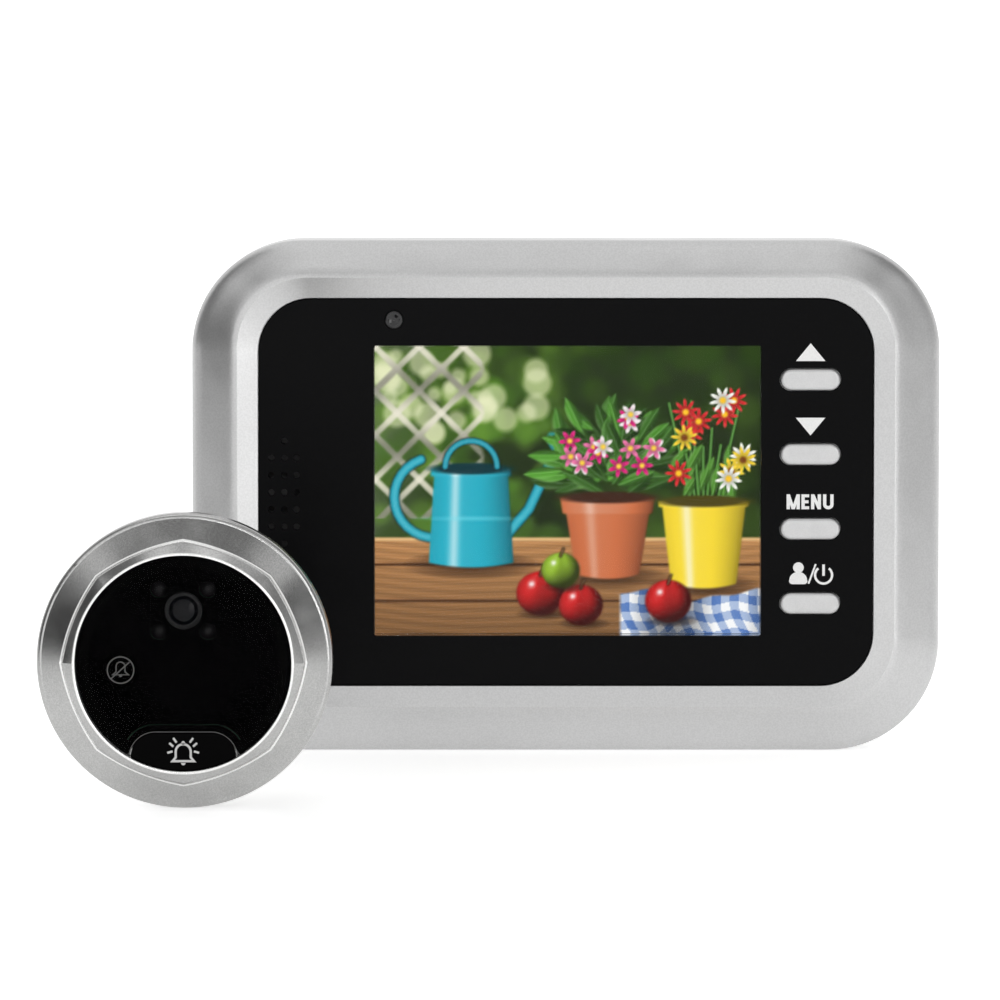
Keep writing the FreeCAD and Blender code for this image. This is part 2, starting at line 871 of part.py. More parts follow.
def spring_point(turn, base, side):
    """Point and heading of a spring's centre line, a cone that climbs from its base along X."""
    share = turn / spring_turns
    climb = spring_len - spring_wire
    radius = spring_base_r + (spring_tip_r - spring_base_r) * share
    angle = 2 * math.pi * turn
    growth = (spring_tip_r - spring_base_r) / (2 * math.pi * spring_turns)
    rise = climb / (2 * math.pi * spring_turns)
    point = base + V(
        side * (spring_wire / 2 + climb * share), radius * math.cos(angle), radius * math.sin(angle)
    )
    heading = V(
        side * rise,
        growth * math.cos(angle) - radius * math.sin(angle),
        growth * math.sin(angle) + radius * math.cos(angle),
    )
    heading.normalize()
    return point, heading


def arc_between(start, corner, end):
    """Arc that leaves start towards a corner and reaches end, with both legs of one length."""
    middle = (start + end) / 2
    half_chord = (end - start).Length / 2
    lift = (corner - middle).Length
    half_turn = math.atan2(lift, half_chord)
    crown = middle + (corner - middle) * (math.tan(half_turn / 2) / math.tan(half_turn))
    return Part.Arc(start, crown, end).toShape()


def biarc(start, start_way, end, end_way):
    """Two arcs that leave and reach two points along given headings."""
    chord = end - start
    both = start_way + end_way
    square = both.dot(both) - 4
    cross = chord.dot(both)
    reach = (cross - math.sqrt(cross * cross - square * chord.dot(chord))) / square
    if reach < 0:
        reach = (cross + math.sqrt(cross * cross - square * chord.dot(chord))) / square
    first = start + start_way * reach
    second = end - end_way * reach
    joint = (first + second) / 2
    return [arc_between(start, first, joint), arc_between(joint, second, end)]


def make_spring(base, side):
    """One battery spring: a round wire carried along quarter-turn arcs."""
    edges = []
    quarters = round(spring_turns * 4)
    for number in range(quarters):
        start, start_way = spring_point(number / 4, base, side)
        end, end_way = spring_point((number + 1) / 4, base, side)
        edges += biarc(start, start_way, end, end_way)
    start, way = spring_point(0, base, side)
    ring = Part.Wire([Part.Circle(start, way, spring_wire / 2).toShape()])
    return Part.Wire(edges).makePipeShell([ring], True, False)


def spring_gap():
    """Least distance between one turn of a spring and the next, between their wires' surfaces."""
    base = V(0, 0, 0)
    points = [spring_point(step / 48, base, 1)[0] for step in range(round(48 * spring_turns) + 1)]
    least = spring_len
    for number, point in enumerate(points):
        for other in points[number + 36:]:
            least = min(least, (other - point).Length - spring_wire)
    return least


def make_battery_springs():
    """A coned spring at the negative end of each cell."""
    springs = []
    for number, z in enumerate(cell_heights()):
        side = cell_side(number)
        x = bay_left + contact_t if side == 1 else bay_right - contact_t
        springs.append(make_spring(V(x, cell_y, z), side))
    return group(springs)


def make_battery_contacts():
    """Spring-steel plates on the bay's two end walls, two of them bridging a pair of cells."""
    heights = cell_heights()
    low_y = cell_bed_y + bay_play
    high_y = cell_y + contact_w / 2
    plates = []
    for x, first, last in [
        (bay_left, 0, 0),
        (bay_left, 1, cell_count - 1),
        (bay_right - contact_t, 0, 1),
        (bay_right - contact_t, cell_count - 1, cell_count - 1),
    ]:
        low = heights[first] - contact_w / 2
        high = heights[last] + contact_w / 2
        plates.append(block(x, x + contact_t, low_y, high_y, low, high))
    return group(plates)


def make_case_screws():
    """Four screws through the rear cover's tubes into the bezel's bosses."""
    screws = []
    for x, z in corners(screw_x, screw_z, case_z):
        head = rod(x, z, screw_head_r, screw_head_y(), screw_head_y() + screw_head_t)
        head = head.makeFillet(screw_head_t / 3, edges_at_depth(head, screw_head_y() + screw_head_t))
        shank = rod(x, z, screw_shank_r, screw_tip_y(), screw_head_y() + screw_head_t / 2)
        screws.append(joined([head, shank]))
    return group(screws)


# Outdoor unit

def at_unit(shape):
    """Turn a shape that was built facing up, and set it in the outdoor unit's place."""
    shape = shape.copy()
    shape.rotate(V(0, 0, 0), V(1, 0, 0), 90)
    shape.translate(V(unit_x, unit_back_y, unit_z))
    return shape


def disc(radius, low, high, x=0.0, y=0.0):
    """Round plate between two levels of the outdoor unit."""
    return Part.makeCylinder(radius, high - low, V(x, y, low), V(0, 0, 1))


def collar_outline(scale, level):
    """Eight corners joined by sides that swell outwards, drawn at a level."""
    edges = []
    half = math.pi / collar_sides
    for number in range(collar_sides):
        points = []
        for step, radius in [(0, collar_corner_r), (1, collar_side_r), (2, collar_corner_r)]:
            angle = half * (2 * number + step)
            points.append(V(scale * radius * math.sin(angle), scale * radius * math.cos(angle), level))
        edges.append(Part.Arc(points[0], points[1], points[2]).toShape())
    return Part.Wire(edges)


def ring_outline(radius, level):
    """Circle cut into as many arcs as the collar has sides, drawn at a level."""
    edges = []
    half = math.pi / collar_sides
    for number in range(collar_sides):
        points = []
        for step in range(3):
            angle = half * (2 * number + step)
            points.append(V(radius * math.sin(angle), radius * math.cos(angle), level))
        edges.append(Part.Arc(points[0], points[1], points[2]).toShape())
    return Part.Wire(edges)


def make_camera_housing():
    """Cast housing in two tiers: a round flange, then an eight-sided collar that slopes to a ring."""
    rim_top = rim_t + rim_round
    profile = Part.Wire([
        Part.LineSegment(V(0, 0, 0), V(flange_r, 0, 0)).toShape(),
        Part.LineSegment(V(flange_r, 0, 0), V(flange_r, 0, rim_t)).toShape(),
        Part.Arc(
            V(flange_r, 0, rim_t),
            V(flange_r - rim_round * (1 - math.cos(math.pi / 4)), 0, rim_t + rim_round * math.sin(math.pi / 4)),
            V(flange_r - rim_round, 0, rim_top),
        ).toShape(),
        Part.LineSegment(V(flange_r - rim_round, 0, rim_top), V(flange_foot_r, 0, foot_u)).toShape(),
        Part.LineSegment(V(flange_foot_r, 0, foot_u), V(0, 0, foot_u)).toShape(),
        Part.LineSegment(V(0, 0, foot_u), V(0, 0, 0)).toShape(),
    ])
    flange = Part.Face(profile).revolve(V(0, 0, 0), V(0, 0, 1), 360)
    collar = Part.Face(collar_outline(1.0, rim_top)).extrude(V(0, 0, collar_top_u - rim_top))
    slope = Part.makeLoft([collar_outline(1.0, collar_top_u), ring_outline(ring_r, ring_u)], True, True)
    lip = disc(ring_r, ring_u - ring_t, ring_u + ring_lip)
    body = joined([flange, collar, slope, lip])
    body = body.cut(disc(glass_r + shaft_gap, seat_u, ring_u + 2 * ring_lip))
    body = body.cut(disc(cavity_r, -back_t, ring_u))
    body = body.cut(disc(back_r + fit_gap, -back_t, back_t))
    for x, y in unit_screw_places():
        body = body.cut(disc(unit_screw_r, 0, unit_screw_len, x, y))
    return at_unit(body)


def unit_screw_places():
    """Places of the outdoor unit's screws, evenly round its axis."""
    places = []
    for number in range(unit_screw_count):
        angle = 2 * math.pi * (number + 0.5) / unit_screw_count
        places.append((unit_screw_circle * math.sin(angle), unit_screw_circle * math.cos(angle)))
    return places


def bell_outline(gap, level):
    """Outline of the doorbell key: a flat top with round shoulders, running past the glass's edge."""
    top = -bell_top + gap
    half_top = bell_half_top + gap / 2
    foot = -math.sqrt(glass_r ** 2 - bell_half_foot ** 2)
    half_foot = bell_half_foot + gap
    bulge_x = half_top + bell_bulge * (half_foot - half_top)
    bulge_y = top - bell_fall * (top - foot)
    beyond = -glass_r - glass_t
    return Part.Wire([
        Part.LineSegment(V(-half_top, top, level), V(half_top, top, level)).toShape(),
        Part.Arc(V(half_top, top, level), V(bulge_x, bulge_y, level), V(half_foot, foot, level)).toShape(),
        Part.LineSegment(V(half_foot, foot, level), V(half_foot, beyond, level)).toShape(),
        Part.LineSegment(V(half_foot, beyond, level), V(-half_foot, beyond, level)).toShape(),
        Part.LineSegment(V(-half_foot, beyond, level), V(-half_foot, foot, level)).toShape(),
        Part.Arc(V(-half_foot, foot, level), V(-bulge_x, bulge_y, level), V(-half_top, top, level)).toShape(),
    ])


def bell_slab(gap, low, high):
    """Solid of the doorbell key's outline between two levels."""
    return Part.Face(bell_outline(gap, low)).extrude(V(0, 0, high - low))


def glass_disc(radius, low):
    """Round plate up to the level of the glass's face, with its front edge bevelled."""
    glass = disc(radius, low, glass_front_u)
    front = [edge for edge in glass.Edges if edge.BoundBox.ZMin > glass_front_u - glass_bevel / 2]
    return glass.makeChamfer(glass_bevel, front)


def make_camera_glass():
    """Dark front glass, cut away at the bottom for the doorbell key."""
    glass = glass_disc(glass_r, seat_u)
    glass = glass.cut(bell_slab(key_gap, seat_u - glass_t, glass_front_u + glass_t))
    return at_unit(glass)


def make_light_shield():
    """Black shield behind the glass, with holes for the barrel and the lamps, clear of the doorbell key."""
    low = seat_u - shield_t
    shield = disc(cavity_r - shield_play, low, seat_u)
    shield = shield.cut(disc(barrel_r + shield_play, low - shield_t, seat_u + shield_t, 0, lens_rise))
    for side in (-1, 1):
        for rise in (-1, 1):
            well = disc(led_r, low - shield_t, seat_u + shield_t, side * led_x, lens_rise + rise * led_z)
            shield = shield.cut(well)
    return at_unit(shield.cut(bell_slab(bell_lap + 2 * shield_play, low - shield_t, seat_u + shield_t)))


def make_bell_key():
    """Doorbell key with a flange behind the glass and a post to its switch."""
    face_low = bell_seat_u
    face_disc = glass_disc(glass_r - fit_gap / 2, face_low)
    face = bell_slab(0, face_low, glass_front_u).common(face_disc)
    stem_top = face_low + shaft_gap
    stem = bell_slab(-bell_stem_trim, seat_u - bell_web_t, stem_top)
    stem = stem.common(disc(cavity_r - bell_stem_trim, 0, stem_top))
    flange_top = seat_u - shaft_gap
    flange = bell_slab(bell_lap, flange_top - bell_web_t, flange_top)
    flange = flange.common(disc(cavity_r - bell_stem_trim, 0, flange_top))
    post = disc(bell_post_r, bell_cap_top_u(), flange_top - bell_web_t / 2, 0, -bell_top - bell_post_drop)
    return at_unit(joined([face, stem, flange, post]))


def bell_cap_top_u():
    """Level of the bell switch's cap at rest."""
    return disc_board_u + bell_switch_h + bell_travel


def make_bell_plunger():
    """Cap of the bell switch, pushed in by the doorbell key's post."""
    low = disc_board_u + bell_switch_h - bell_travel
    return at_unit(disc(bell_cap_r, low, bell_cap_top_u(), 0, -bell_top - bell_post_drop))


def make_bell_switch():
    """Switch body on the round board, with a well for its cap."""
    place = -bell_top - bell_post_drop
    half = bell_switch_size / 2
    base = V(-half, place - half, disc_board_u)
    body = Part.makeBox(bell_switch_size, bell_switch_size, bell_switch_h, base)
    body = body.common(disc(disc_board_r, disc_board_u, disc_board_u + bell_switch_h))
    well_low = disc_board_u + bell_switch_h - 2 * bell_travel - shaft_gap
    well = disc(bell_cap_r + shaft_gap, well_low, disc_board_u + 2 * bell_switch_h, 0, place)
    return at_unit(body.cut(well))


def make_camera_back():
    """Back plate with the ribbon's throat and three countersunk screw holes."""
    body = disc(back_r, 0, back_t).cut(disc(throat_r, -back_t, 2 * back_t))
    for x, y in unit_screw_places():
        body = body.cut(disc(unit_screw_r + fit_gap, -back_t, 2 * back_t, x, y))
        body = body.cut(disc(unit_head_r + fit_gap, -back_t, unit_head_t, x, y))
    return at_unit(body)


def make_door_stub():
    """Hollow stub behind the back plate, which passes through the door and takes the clamp screw."""
    return at_unit(disc(stub_r, -stub_len, 0).cut(disc(stub_bore_r, -stub_len, 0)))


def make_foam_gasket():
    """Foam ring between the housing and the door."""
    return at_unit(disc(foam_out_r, -foam_t, 0).cut(disc(foam_in_r, -foam_t, 0)))


def make_unit_screws():
    """Screws from the back plate into the housing."""
    screws = []
    for x, y in unit_screw_places():
        head = disc(unit_head_r, 0, unit_head_t, x, y)
        shank = disc(unit_screw_r - shaft_gap, unit_head_t / 2, unit_screw_len - fit_gap, x, y)
        screws.append(joined([head, shank]))
    return at_unit(group(screws))


def make_unit_board():
    """Round board of the outdoor unit."""
    return at_unit(disc(disc_board_r, back_t, disc_board_u))


def make_unit_socket():
    """Ribbon socket on the back of the round board, inside the stub's throat."""
    size = V(-unit_socket_w / 2, -unit_socket_h / 2, back_t - unit_socket_t)
    body = Part.makeBox(unit_socket_w, unit_socket_h, unit_socket_t, size)
    wall = unit_socket_h / 6
    room = V(-unit_socket_w / 2 + wall, -unit_socket_h / 2 + wall, back_t - 2 * unit_socket_t)
    inside = Part.makeBox(unit_socket_w - 2 * wall, unit_socket_h - 2 * wall, 1.6 * unit_socket_t, room)
    return at_unit(body.cut(inside))


def make_camera_holder():
    """Lens holder and barrel on the round board, close behind the glass."""
    barrel_top = seat_u - fit_gap
    holder = disc(holder_r, disc_board_u, disc_board_u + holder_t, 0, lens_rise)
    barrel = disc(barrel_r, disc_board_u, barrel_top, 0, lens_rise)
    bore = disc(barrel_bore_r, disc_board_u + holder_t / 2, seat_u, 0, lens_rise)
    return at_unit(joined([holder, barrel]).cut(bore))


def make_camera_lens():
    """Domed front lens inside the barrel."""
    low = disc_board_u + holder_t / 2
    top = seat_u - 2 * fit_gap - lens_dome
    stack = disc(lens_r, low, top, 0, lens_rise)
    ball_r = (lens_r ** 2 + lens_dome ** 2) / (2 * lens_dome)
    ball = Part.makeSphere(ball_r, V(0, lens_rise, top + lens_dome - ball_r))
    dome = ball.common(disc(lens_r, top - lens_edge, top + lens_dome, 0, lens_rise))
    return at_unit(joined([stack, dome]))


def make_ir_leds():
    """Four infrared lamps round the lens, each a short post with a round head."""
    lamps = []
    for side in (-1, 1):
        for rise in (-1, 1):
            x = side * led_x
            y = lens_rise + rise * led_z
            top = disc_board_u + led_t - led_r / 2
            body = disc(led_r, disc_board_u, top, x, y)
            ball_r = led_r * led_swell
            sunk = math.sqrt(ball_r ** 2 - led_r ** 2)
            ball = Part.makeSphere(ball_r, V(x, y, top - sunk))
            lamps.append(joined([body, ball.common(disc(led_r, top - shaft_gap, top + led_r, x, y))]))
    return at_unit(group(lamps))


os.makedirs("parts", exist_ok=True)
save("front_bezel", make_front_bezel())
save("face_panel", make_face_panel())
save("window_lens", make_window_lens())
save("screen_gasket", make_screen_gasket())
save("lcd_glass", make_lcd_glass())
save("backlight_plate", make_backlight_plate())
save("lcd_frame", make_lcd_frame())
for key_name, key_z in zip(key_names, key_places()):
    save("key_" + key_name, make_key(key_z))
    save("plunger_" + key_name, make_plunger(key_z))
save("key_switches", make_key_switches())
save("indicator_lens", make_indicator_lens())
save("indicator_led", make_indicator_led())
save("speaker_frame", make_speaker_frame())
save("speaker_cone", make_speaker_cone())
save("speaker_gasket", make_speaker_gasket())
save("main_board", make_main_board())
save("board_screws", make_board_screws())
save("board_chips", make_board_chips())
save("ribbon_socket", make_ribbon_socket())
save("rear_cover", make_rear_cover())
save("battery_door", make_battery_door())
save("batteries", make_batteries())
save("battery_springs", make_battery_springs())
save("battery_contacts", make_battery_contacts())
save("case_screws", make_case_screws())
save("camera_housing", make_camera_housing())
save("camera_glass", make_camera_glass())
save("light_shield", make_light_shield())
save("bell_key", make_bell_key())
save("bell_plunger", make_bell_plunger())
save("bell_switch", make_bell_switch())
save("camera_back", make_camera_back())
save("door_stub", make_door_stub())
save("foam_gasket", make_foam_gasket())
save("unit_screws", make_unit_screws())
save("unit_board", make_unit_board())
save("unit_socket", make_unit_socket())
save("camera_holder", make_camera_holder())
save("camera_lens", make_camera_lens())
save("ir_leds", make_ir_leds())
print("least gap between a spring's turns", round(spring_gap(), 2), "mm")
print("case", round(case_w, 2), "by", round(case_h, 2), "by", round(back_y - ridge_y, 2), "mm")
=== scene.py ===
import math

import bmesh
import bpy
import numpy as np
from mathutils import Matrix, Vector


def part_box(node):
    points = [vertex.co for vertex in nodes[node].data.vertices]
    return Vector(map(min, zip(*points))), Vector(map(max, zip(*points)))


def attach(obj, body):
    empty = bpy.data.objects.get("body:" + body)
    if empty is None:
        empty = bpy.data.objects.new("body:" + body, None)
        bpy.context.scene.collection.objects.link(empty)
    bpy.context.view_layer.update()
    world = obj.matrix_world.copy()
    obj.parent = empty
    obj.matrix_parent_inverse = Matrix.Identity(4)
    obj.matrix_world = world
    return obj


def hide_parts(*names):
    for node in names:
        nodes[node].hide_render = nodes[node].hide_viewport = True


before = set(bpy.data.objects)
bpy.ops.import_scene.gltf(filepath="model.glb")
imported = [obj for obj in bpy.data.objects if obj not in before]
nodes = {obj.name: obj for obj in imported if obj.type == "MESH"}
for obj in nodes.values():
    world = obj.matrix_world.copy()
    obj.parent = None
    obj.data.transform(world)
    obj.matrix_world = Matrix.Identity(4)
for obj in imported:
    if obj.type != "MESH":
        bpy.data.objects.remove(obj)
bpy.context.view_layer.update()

# %% [markdown]
# # A door viewer with a screen
# The object is two units. The monitor hangs inside a door: a silver frame, a black face, a colour
# screen and four keys. The round camera sits outside the door: a cast flange with an eight-cornered
# collar, a black glass and a bell key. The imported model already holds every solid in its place, so
# this lesson adds what a solid can't show: finishes, prints, threads, the picture and the light.

MM = 0.001

# %% [markdown]
# ## The camera
# The photograph was taken from far away with a long lens: the frame's left and right sides show the
# same width, and hardly any of the top is seen. A long lens on a standard 36 mm sensor does this.

# %% Camera
camera_place = (-8.371 * MM, -833.04 * MM, 88.0 * MM)
camera_down = 3.876
view_camera = bpy.data.cameras.new("photo_camera")
view_camera.sensor_width = 36.0
view_camera.lens = 234.53
view_camera.clip_start = 0.01
camera_object = bpy.data.objects.new("photo_camera", view_camera)
camera_object.location = camera_place
camera_object.rotation_euler = (math.radians(90 - camera_down), 0, 0)
bpy.context.scene.collection.objects.link(camera_object)
bpy.context.scene.camera = camera_object
bpy.context.scene.view_settings.view_transform = "Standard"
print("camera lens:", view_camera.lens, "mm")

# %% [markdown]
# ## A finish
# Real paint, plastic and plated metal are never one flat colour. Each has slow clouds in its tone,
# fine grain that breaks the light, and roughness that wanders. One helper makes all of them from
# noises in Object coordinates, scaled so that a grain size is written in millimetres.

# %% Noise in millimetres
def millimetres(tree):
    """Object coordinates times a thousand, so that one unit of the pattern is a millimetre."""
    place = tree.nodes.new("ShaderNodeTexCoord")
    scale = tree.nodes.new("ShaderNodeMapping")
    scale.inputs["Scale"].default_value = (1 / MM, 1 / MM, 1 / MM)
    tree.links.new(place.outputs["Object"], scale.inputs["Vector"])
    return scale.outputs["Vector"]


def noise(tree, place, size, detail=2.0):
    """A noise whose lumps are about `size` millimetres wide."""
    lumps = tree.nodes.new("ShaderNodeTexNoise")
    lumps.inputs["Scale"].default_value = 1 / size
    lumps.inputs["Detail"].default_value = detail
    tree.links.new(place, lumps.inputs["Vector"])
    return lumps.outputs["Fac"]


def spread(tree, source, low, high, ends=(0.3, 0.7)):
    """Maps a noise, which keeps near its middle, from `ends` to the numbers low and high."""
    reach = tree.nodes.new("ShaderNodeMapRange")
    reach.interpolation_type = "SMOOTHSTEP"
    reach.inputs["From Min"].default_value, reach.inputs["From Max"].default_value = ends
    reach.inputs["To Min"].default_value, reach.inputs["To Max"].default_value = low, high
    tree.links.new(source, reach.inputs["Value"])
    return reach.outputs["Result"]


print("noise helpers are ready")

# %% The finish helper
def new_material(name):
    """A material, its node tree and its shader."""
    material = bpy.data.materials.new(name)
    material.use_nodes = True
    return material, material.node_tree, material.node_tree.nodes["Principled BSDF"]


def constants(shader, **values):
    """Sets a shader's sockets, named with an underscore for each space."""
    for socket, value in values.items():
        shader.inputs[socket.replace("_", " ")].default_value = value


def kept_tone(tree):
    """The sockets of the colour that each point of a mesh keeps."""
    tone = tree.nodes.new("ShaderNodeAttribute")
    tone.attribute_name = "tone"
    return tone.outputs


def shade(colour, factor):
    """A colour times a factor, kept below white, with an alpha of one."""
    return (*[min(1.0, c * factor) for c in colour], 1.0)


def finish(name, colour, roughness, clouds=0.05, cloud_size=9.0, grain=0.02, grain_size=0.25,
           relief=0.0, wander=0.15, **fixed):
    """Colour = base x (1 + clouds + grain); roughness wanders; the same grain lifts the surface.

    relief is the height of the grain in millimetres. fixed holds the shader's constant sockets.
    """
    material, tree, shader = new_material(name)
    place = millimetres(tree)
    slow = noise(tree, place, cloud_size)
    fine = noise(tree, place, grain_size, detail=1.0)
    tone = tree.nodes.new("ShaderNodeMix")
    tone.data_type = "RGBA"
    tone.inputs["A"].default_value = shade(colour, 1 - clouds)
    tone.inputs["B"].default_value = shade(colour, 1 + clouds)
    tree.links.new(spread(tree, slow, 0, 1), tone.inputs["Factor"])
    speck = tree.nodes.new("ShaderNodeMix")
    speck.data_type = "RGBA"
    speck.blend_type = "MULTIPLY"
    speck.inputs["Factor"].default_value = 1.0
    grey = tree.nodes.new("ShaderNodeCombineColor")
    level = spread(tree, fine, 1 - grain, 1 + grain)
    for channel in grey.inputs:
        tree.links.new(level, channel)
    tree.links.new(tone.outputs["Result"], speck.inputs["A"])
    tree.links.new(grey.outputs["Color"], speck.inputs["B"])
    tree.links.new(speck.outputs["Result"], shader.inputs["Base Color"])
    rough = spread(tree, slow, roughness * (1 - wander), roughness * (1 + wander))
    tree.links.new(rough, shader.inputs["Roughness"])
    if relief:
        bump = tree.nodes.new("ShaderNodeBump")
        bump.inputs["Strength"].default_value = 1.0
        bump.inputs["Distance"].default_value = relief * MM
        tree.links.new(fine, bump.inputs["Height"])
        tree.links.new(bump.outputs["Normal"], shader.inputs["Normal"])
    constants(shader, **fixed)
    return material


def dress(names, *finish_words, **finish_facts):
    """Makes a finish, gives it to the CAD nodes whose names are in the string, and returns it."""
    material = finish(*finish_words, **finish_facts)
    for node in names.split():
        nodes[node].material_slots[0].material = material
    print(material.name, "->", names)
    return material


# %% [markdown]
# ## The silver frame and its keys
# The frame is moulded plastic under a satin metallic paint, with flakes a quarter of a millimetre
# apart. A little less than full metal keeps the paint's own grey in the shade.

# %% Silver paint
dress("front_bezel", "silver_paint", (0.56, 0.56, 0.56), 0.33, clouds=0.02, cloud_size=14,
      grain=0.05, grain_size=0.22, relief=0.004, Metallic=0.85)
dress("key_up key_down key_menu key_power", "key_paint", (0.55, 0.55, 0.55), 0.33, clouds=0.03,
      cloud_size=2.5, grain=0.03, grain_size=0.15, relief=0.002, Metallic=0.6)

# %% [markdown]
# ## The black face
# The face is a black plastic sheet, finer and softer than piano black: it shows the light of the
# room as a faint veil. A low specular level keeps that veil as dark as in the photograph. The clear
# window and the round glass are coated, so they mirror next to nothing.

# %% Black face and dark glass
dress("face_panel", "face_black", (0.0025, 0.0025, 0.0028), 0.34, clouds=0.1, grain=0.12,
      grain_size=0.3, relief=0.0012, Specular_IOR_Level=0.05)
dress("window_lens", "clear_sheet", (0.97, 0.985, 0.98), 0.02, clouds=0.004, grain=0.0, IOR=1.09,
      Transmission_Weight=1.0)
dress("indicator_lens", "smoked_dome", (0.008, 0.008, 0.009), 0.1, clouds=0.08, cloud_size=0.8,
      grain=0.03, grain_size=0.1, IOR=1.5, Transmission_Weight=0.3)
dress("camera_glass", "unit_glass", (0.0006, 0.0006, 0.0007), 0.03, clouds=0.1, cloud_size=6,
      grain=0.0, wander=0.3, Specular_IOR_Level=0.035, Alpha=0.35)
dress("bell_key", "bell_gloss", (0.001, 0.001, 0.0011), 0.05, clouds=0.1, cloud_size=3, grain=0.04,
      grain_size=0.2, Specular_IOR_Level=0.02)
dress("light_shield", "shield_black", (0.0012, 0.0012, 0.0013), 0.8, grain=0.1, relief=0.004,
      Specular_IOR_Level=0.02)

# %% [markdown]
# ## The cast flange
# The outdoor housing is a satin plated casting. Its grain is coarser than the paint's, and the
# photograph shows it dark above and pale below, as bare metal shows the room around it.

# %% Cast metal
cast_metal = dress("camera_housing", "cast_metal", (0.42, 0.42, 0.415), 0.22, clouds=0.04,
                   cloud_size=5, grain=0.09, grain_size=0.16, relief=0.004, Metallic=1.0)
nickel_turned = dress("door_stub", "nickel_turned", (0.6, 0.585, 0.55), 0.24, clouds=0.05,
                      cloud_size=3, grain=0.05, grain_size=0.1, relief=0.002, Metallic=1.0)

# %% [markdown]
# ## Plastics of the back and the inside
# The rear cover and its door have a spark-eroded texture: shallow pits a third of a millimetre
# apart, deep enough to feel. Inner mouldings are plainer, and foam is coarse and quite dull.

# %% Plastics and foams
dress("rear_cover battery_door", "spark_black", (0.024, 0.024, 0.026), 0.55, clouds=0.08,
      cloud_size=12, grain=0.25, grain_size=0.34, relief=0.035, IOR=1.46)
dress("camera_back", "back_black", (0.045, 0.045, 0.046), 0.5, clouds=0.06, grain=0.15,
      grain_size=0.3, relief=0.02)
dress("key_switches bell_switch plunger_up plunger_down plunger_menu plunger_power bell_plunger "
      "speaker_frame", "moulded_black", (0.035, 0.035, 0.036), 0.45, grain=0.1, relief=0.006)
dress("board_chips", "chip_resin", (0.028, 0.028, 0.03), 0.6, grain=0.2, grain_size=0.12,
      relief=0.01)
dress("screen_gasket speaker_gasket", "soft_foam", (0.03, 0.03, 0.031), 0.95, clouds=0.1, grain=0.5,
      grain_size=0.3, relief=0.12, IOR=1.2)
dress("foam_gasket", "grey_foam", (0.09, 0.09, 0.09), 0.95, clouds=0.1, grain=0.5, grain_size=0.45,
      relief=0.16, IOR=1.2)
dress("speaker_cone", "speaker_film", (0.1, 0.1, 0.1), 0.4, clouds=0.1, cloud_size=4, grain=0.1)
dress("ribbon_socket unit_socket", "nylon_white", (0.8, 0.78, 0.72), 0.42, clouds=0.03, grain=0.03,
      relief=0.004)

# %% [markdown]
# ## Boards, lamps and metal parts
# Solder mask is a glossy green lacquer over faint copper tracks, so its green has blocky clouds.
# Springs and contacts are nickel plate, the tray is steel, and the lamps are clear or smoked resin.

# %% Boards and metals
dress("main_board unit_board", "solder_mask", (0.018, 0.15, 0.07), 0.3, clouds=0.25, cloud_size=2.2,
      grain=0.12, grain_size=0.4, relief=0.012)
dress("lcd_frame", "tray_steel", (0.58, 0.58, 0.58), 0.3, clouds=0.05, grain=0.05, Metallic=1.0)
dress("battery_springs battery_contacts", "nickel_plate", (0.7, 0.69, 0.66), 0.2, clouds=0.04,
      cloud_size=3, grain=0.04, grain_size=0.2, relief=0.002, Metallic=1.0)
dress("board_screws", "zinc_plate", (0.6, 0.6, 0.6), 0.28, clouds=0.06, cloud_size=1.5, grain=0.06,
      relief=0.002, Metallic=1.0)
black_oxide = dress("unit_screws case_screws", "black_oxide", (0.05, 0.05, 0.052), 0.34,
                    clouds=0.12, cloud_size=1.0, grain=0.1, grain_size=0.1, relief=0.002,
                    Metallic=0.7)
dress("backlight_plate", "light_guide", (0.9, 0.9, 0.88), 0.5, clouds=0.02, grain=0.02)
dress("lcd_glass", "panel_stack", (0.02, 0.022, 0.024), 0.25, clouds=0.1, grain=0.02)

# %% Lamps, lens and cells
dress("indicator_led", "lamp_resin", (0.88, 0.86, 0.72), 0.2, clouds=0.05, cloud_size=0.6,
      grain=0.02)
dress("ir_leds", "smoked_resin", (0.03, 0.028, 0.032), 0.12, clouds=0.15, cloud_size=0.7,
      grain=0.02, IOR=1.52)
dress("camera_holder", "barrel_black", (0.055, 0.055, 0.056), 0.35, grain=0.1, grain_size=0.15,
      relief=0.004)
dress("camera_lens", "coated_lens", (0.006, 0.007, 0.012), 0.06, clouds=0.05, cloud_size=4,
      grain=0.0, IOR=1.6)
cell_sleeve = dress("batteries", "cell_sleeve", (0.1, 0.12, 0.16), 0.25, clouds=0.04, grain=0.02)
tree = cell_sleeve.node_tree
tone, sleeve = kept_tone(tree), tree.nodes["Principled BSDF"].inputs
tree.links.new(tone["Color"], sleeve["Base Color"])
tree.links.new(tone["Alpha"], sleeve["Metallic"])

# %% [markdown]
# ## Surfaces from grids
# Every new piece below is a grid of points: rows along one parameter, columns along another. numpy
# works out all the points at once. Equal points are merged, which closes seams and poles, and the
# faces are then turned outwards.

# %% Grid to mesh
def spots(x, y, z):
    """Points from three grids of numbers, each stretched to the shape of all."""
    return np.stack(np.broadcast_arrays(x, y, z), axis=-1)


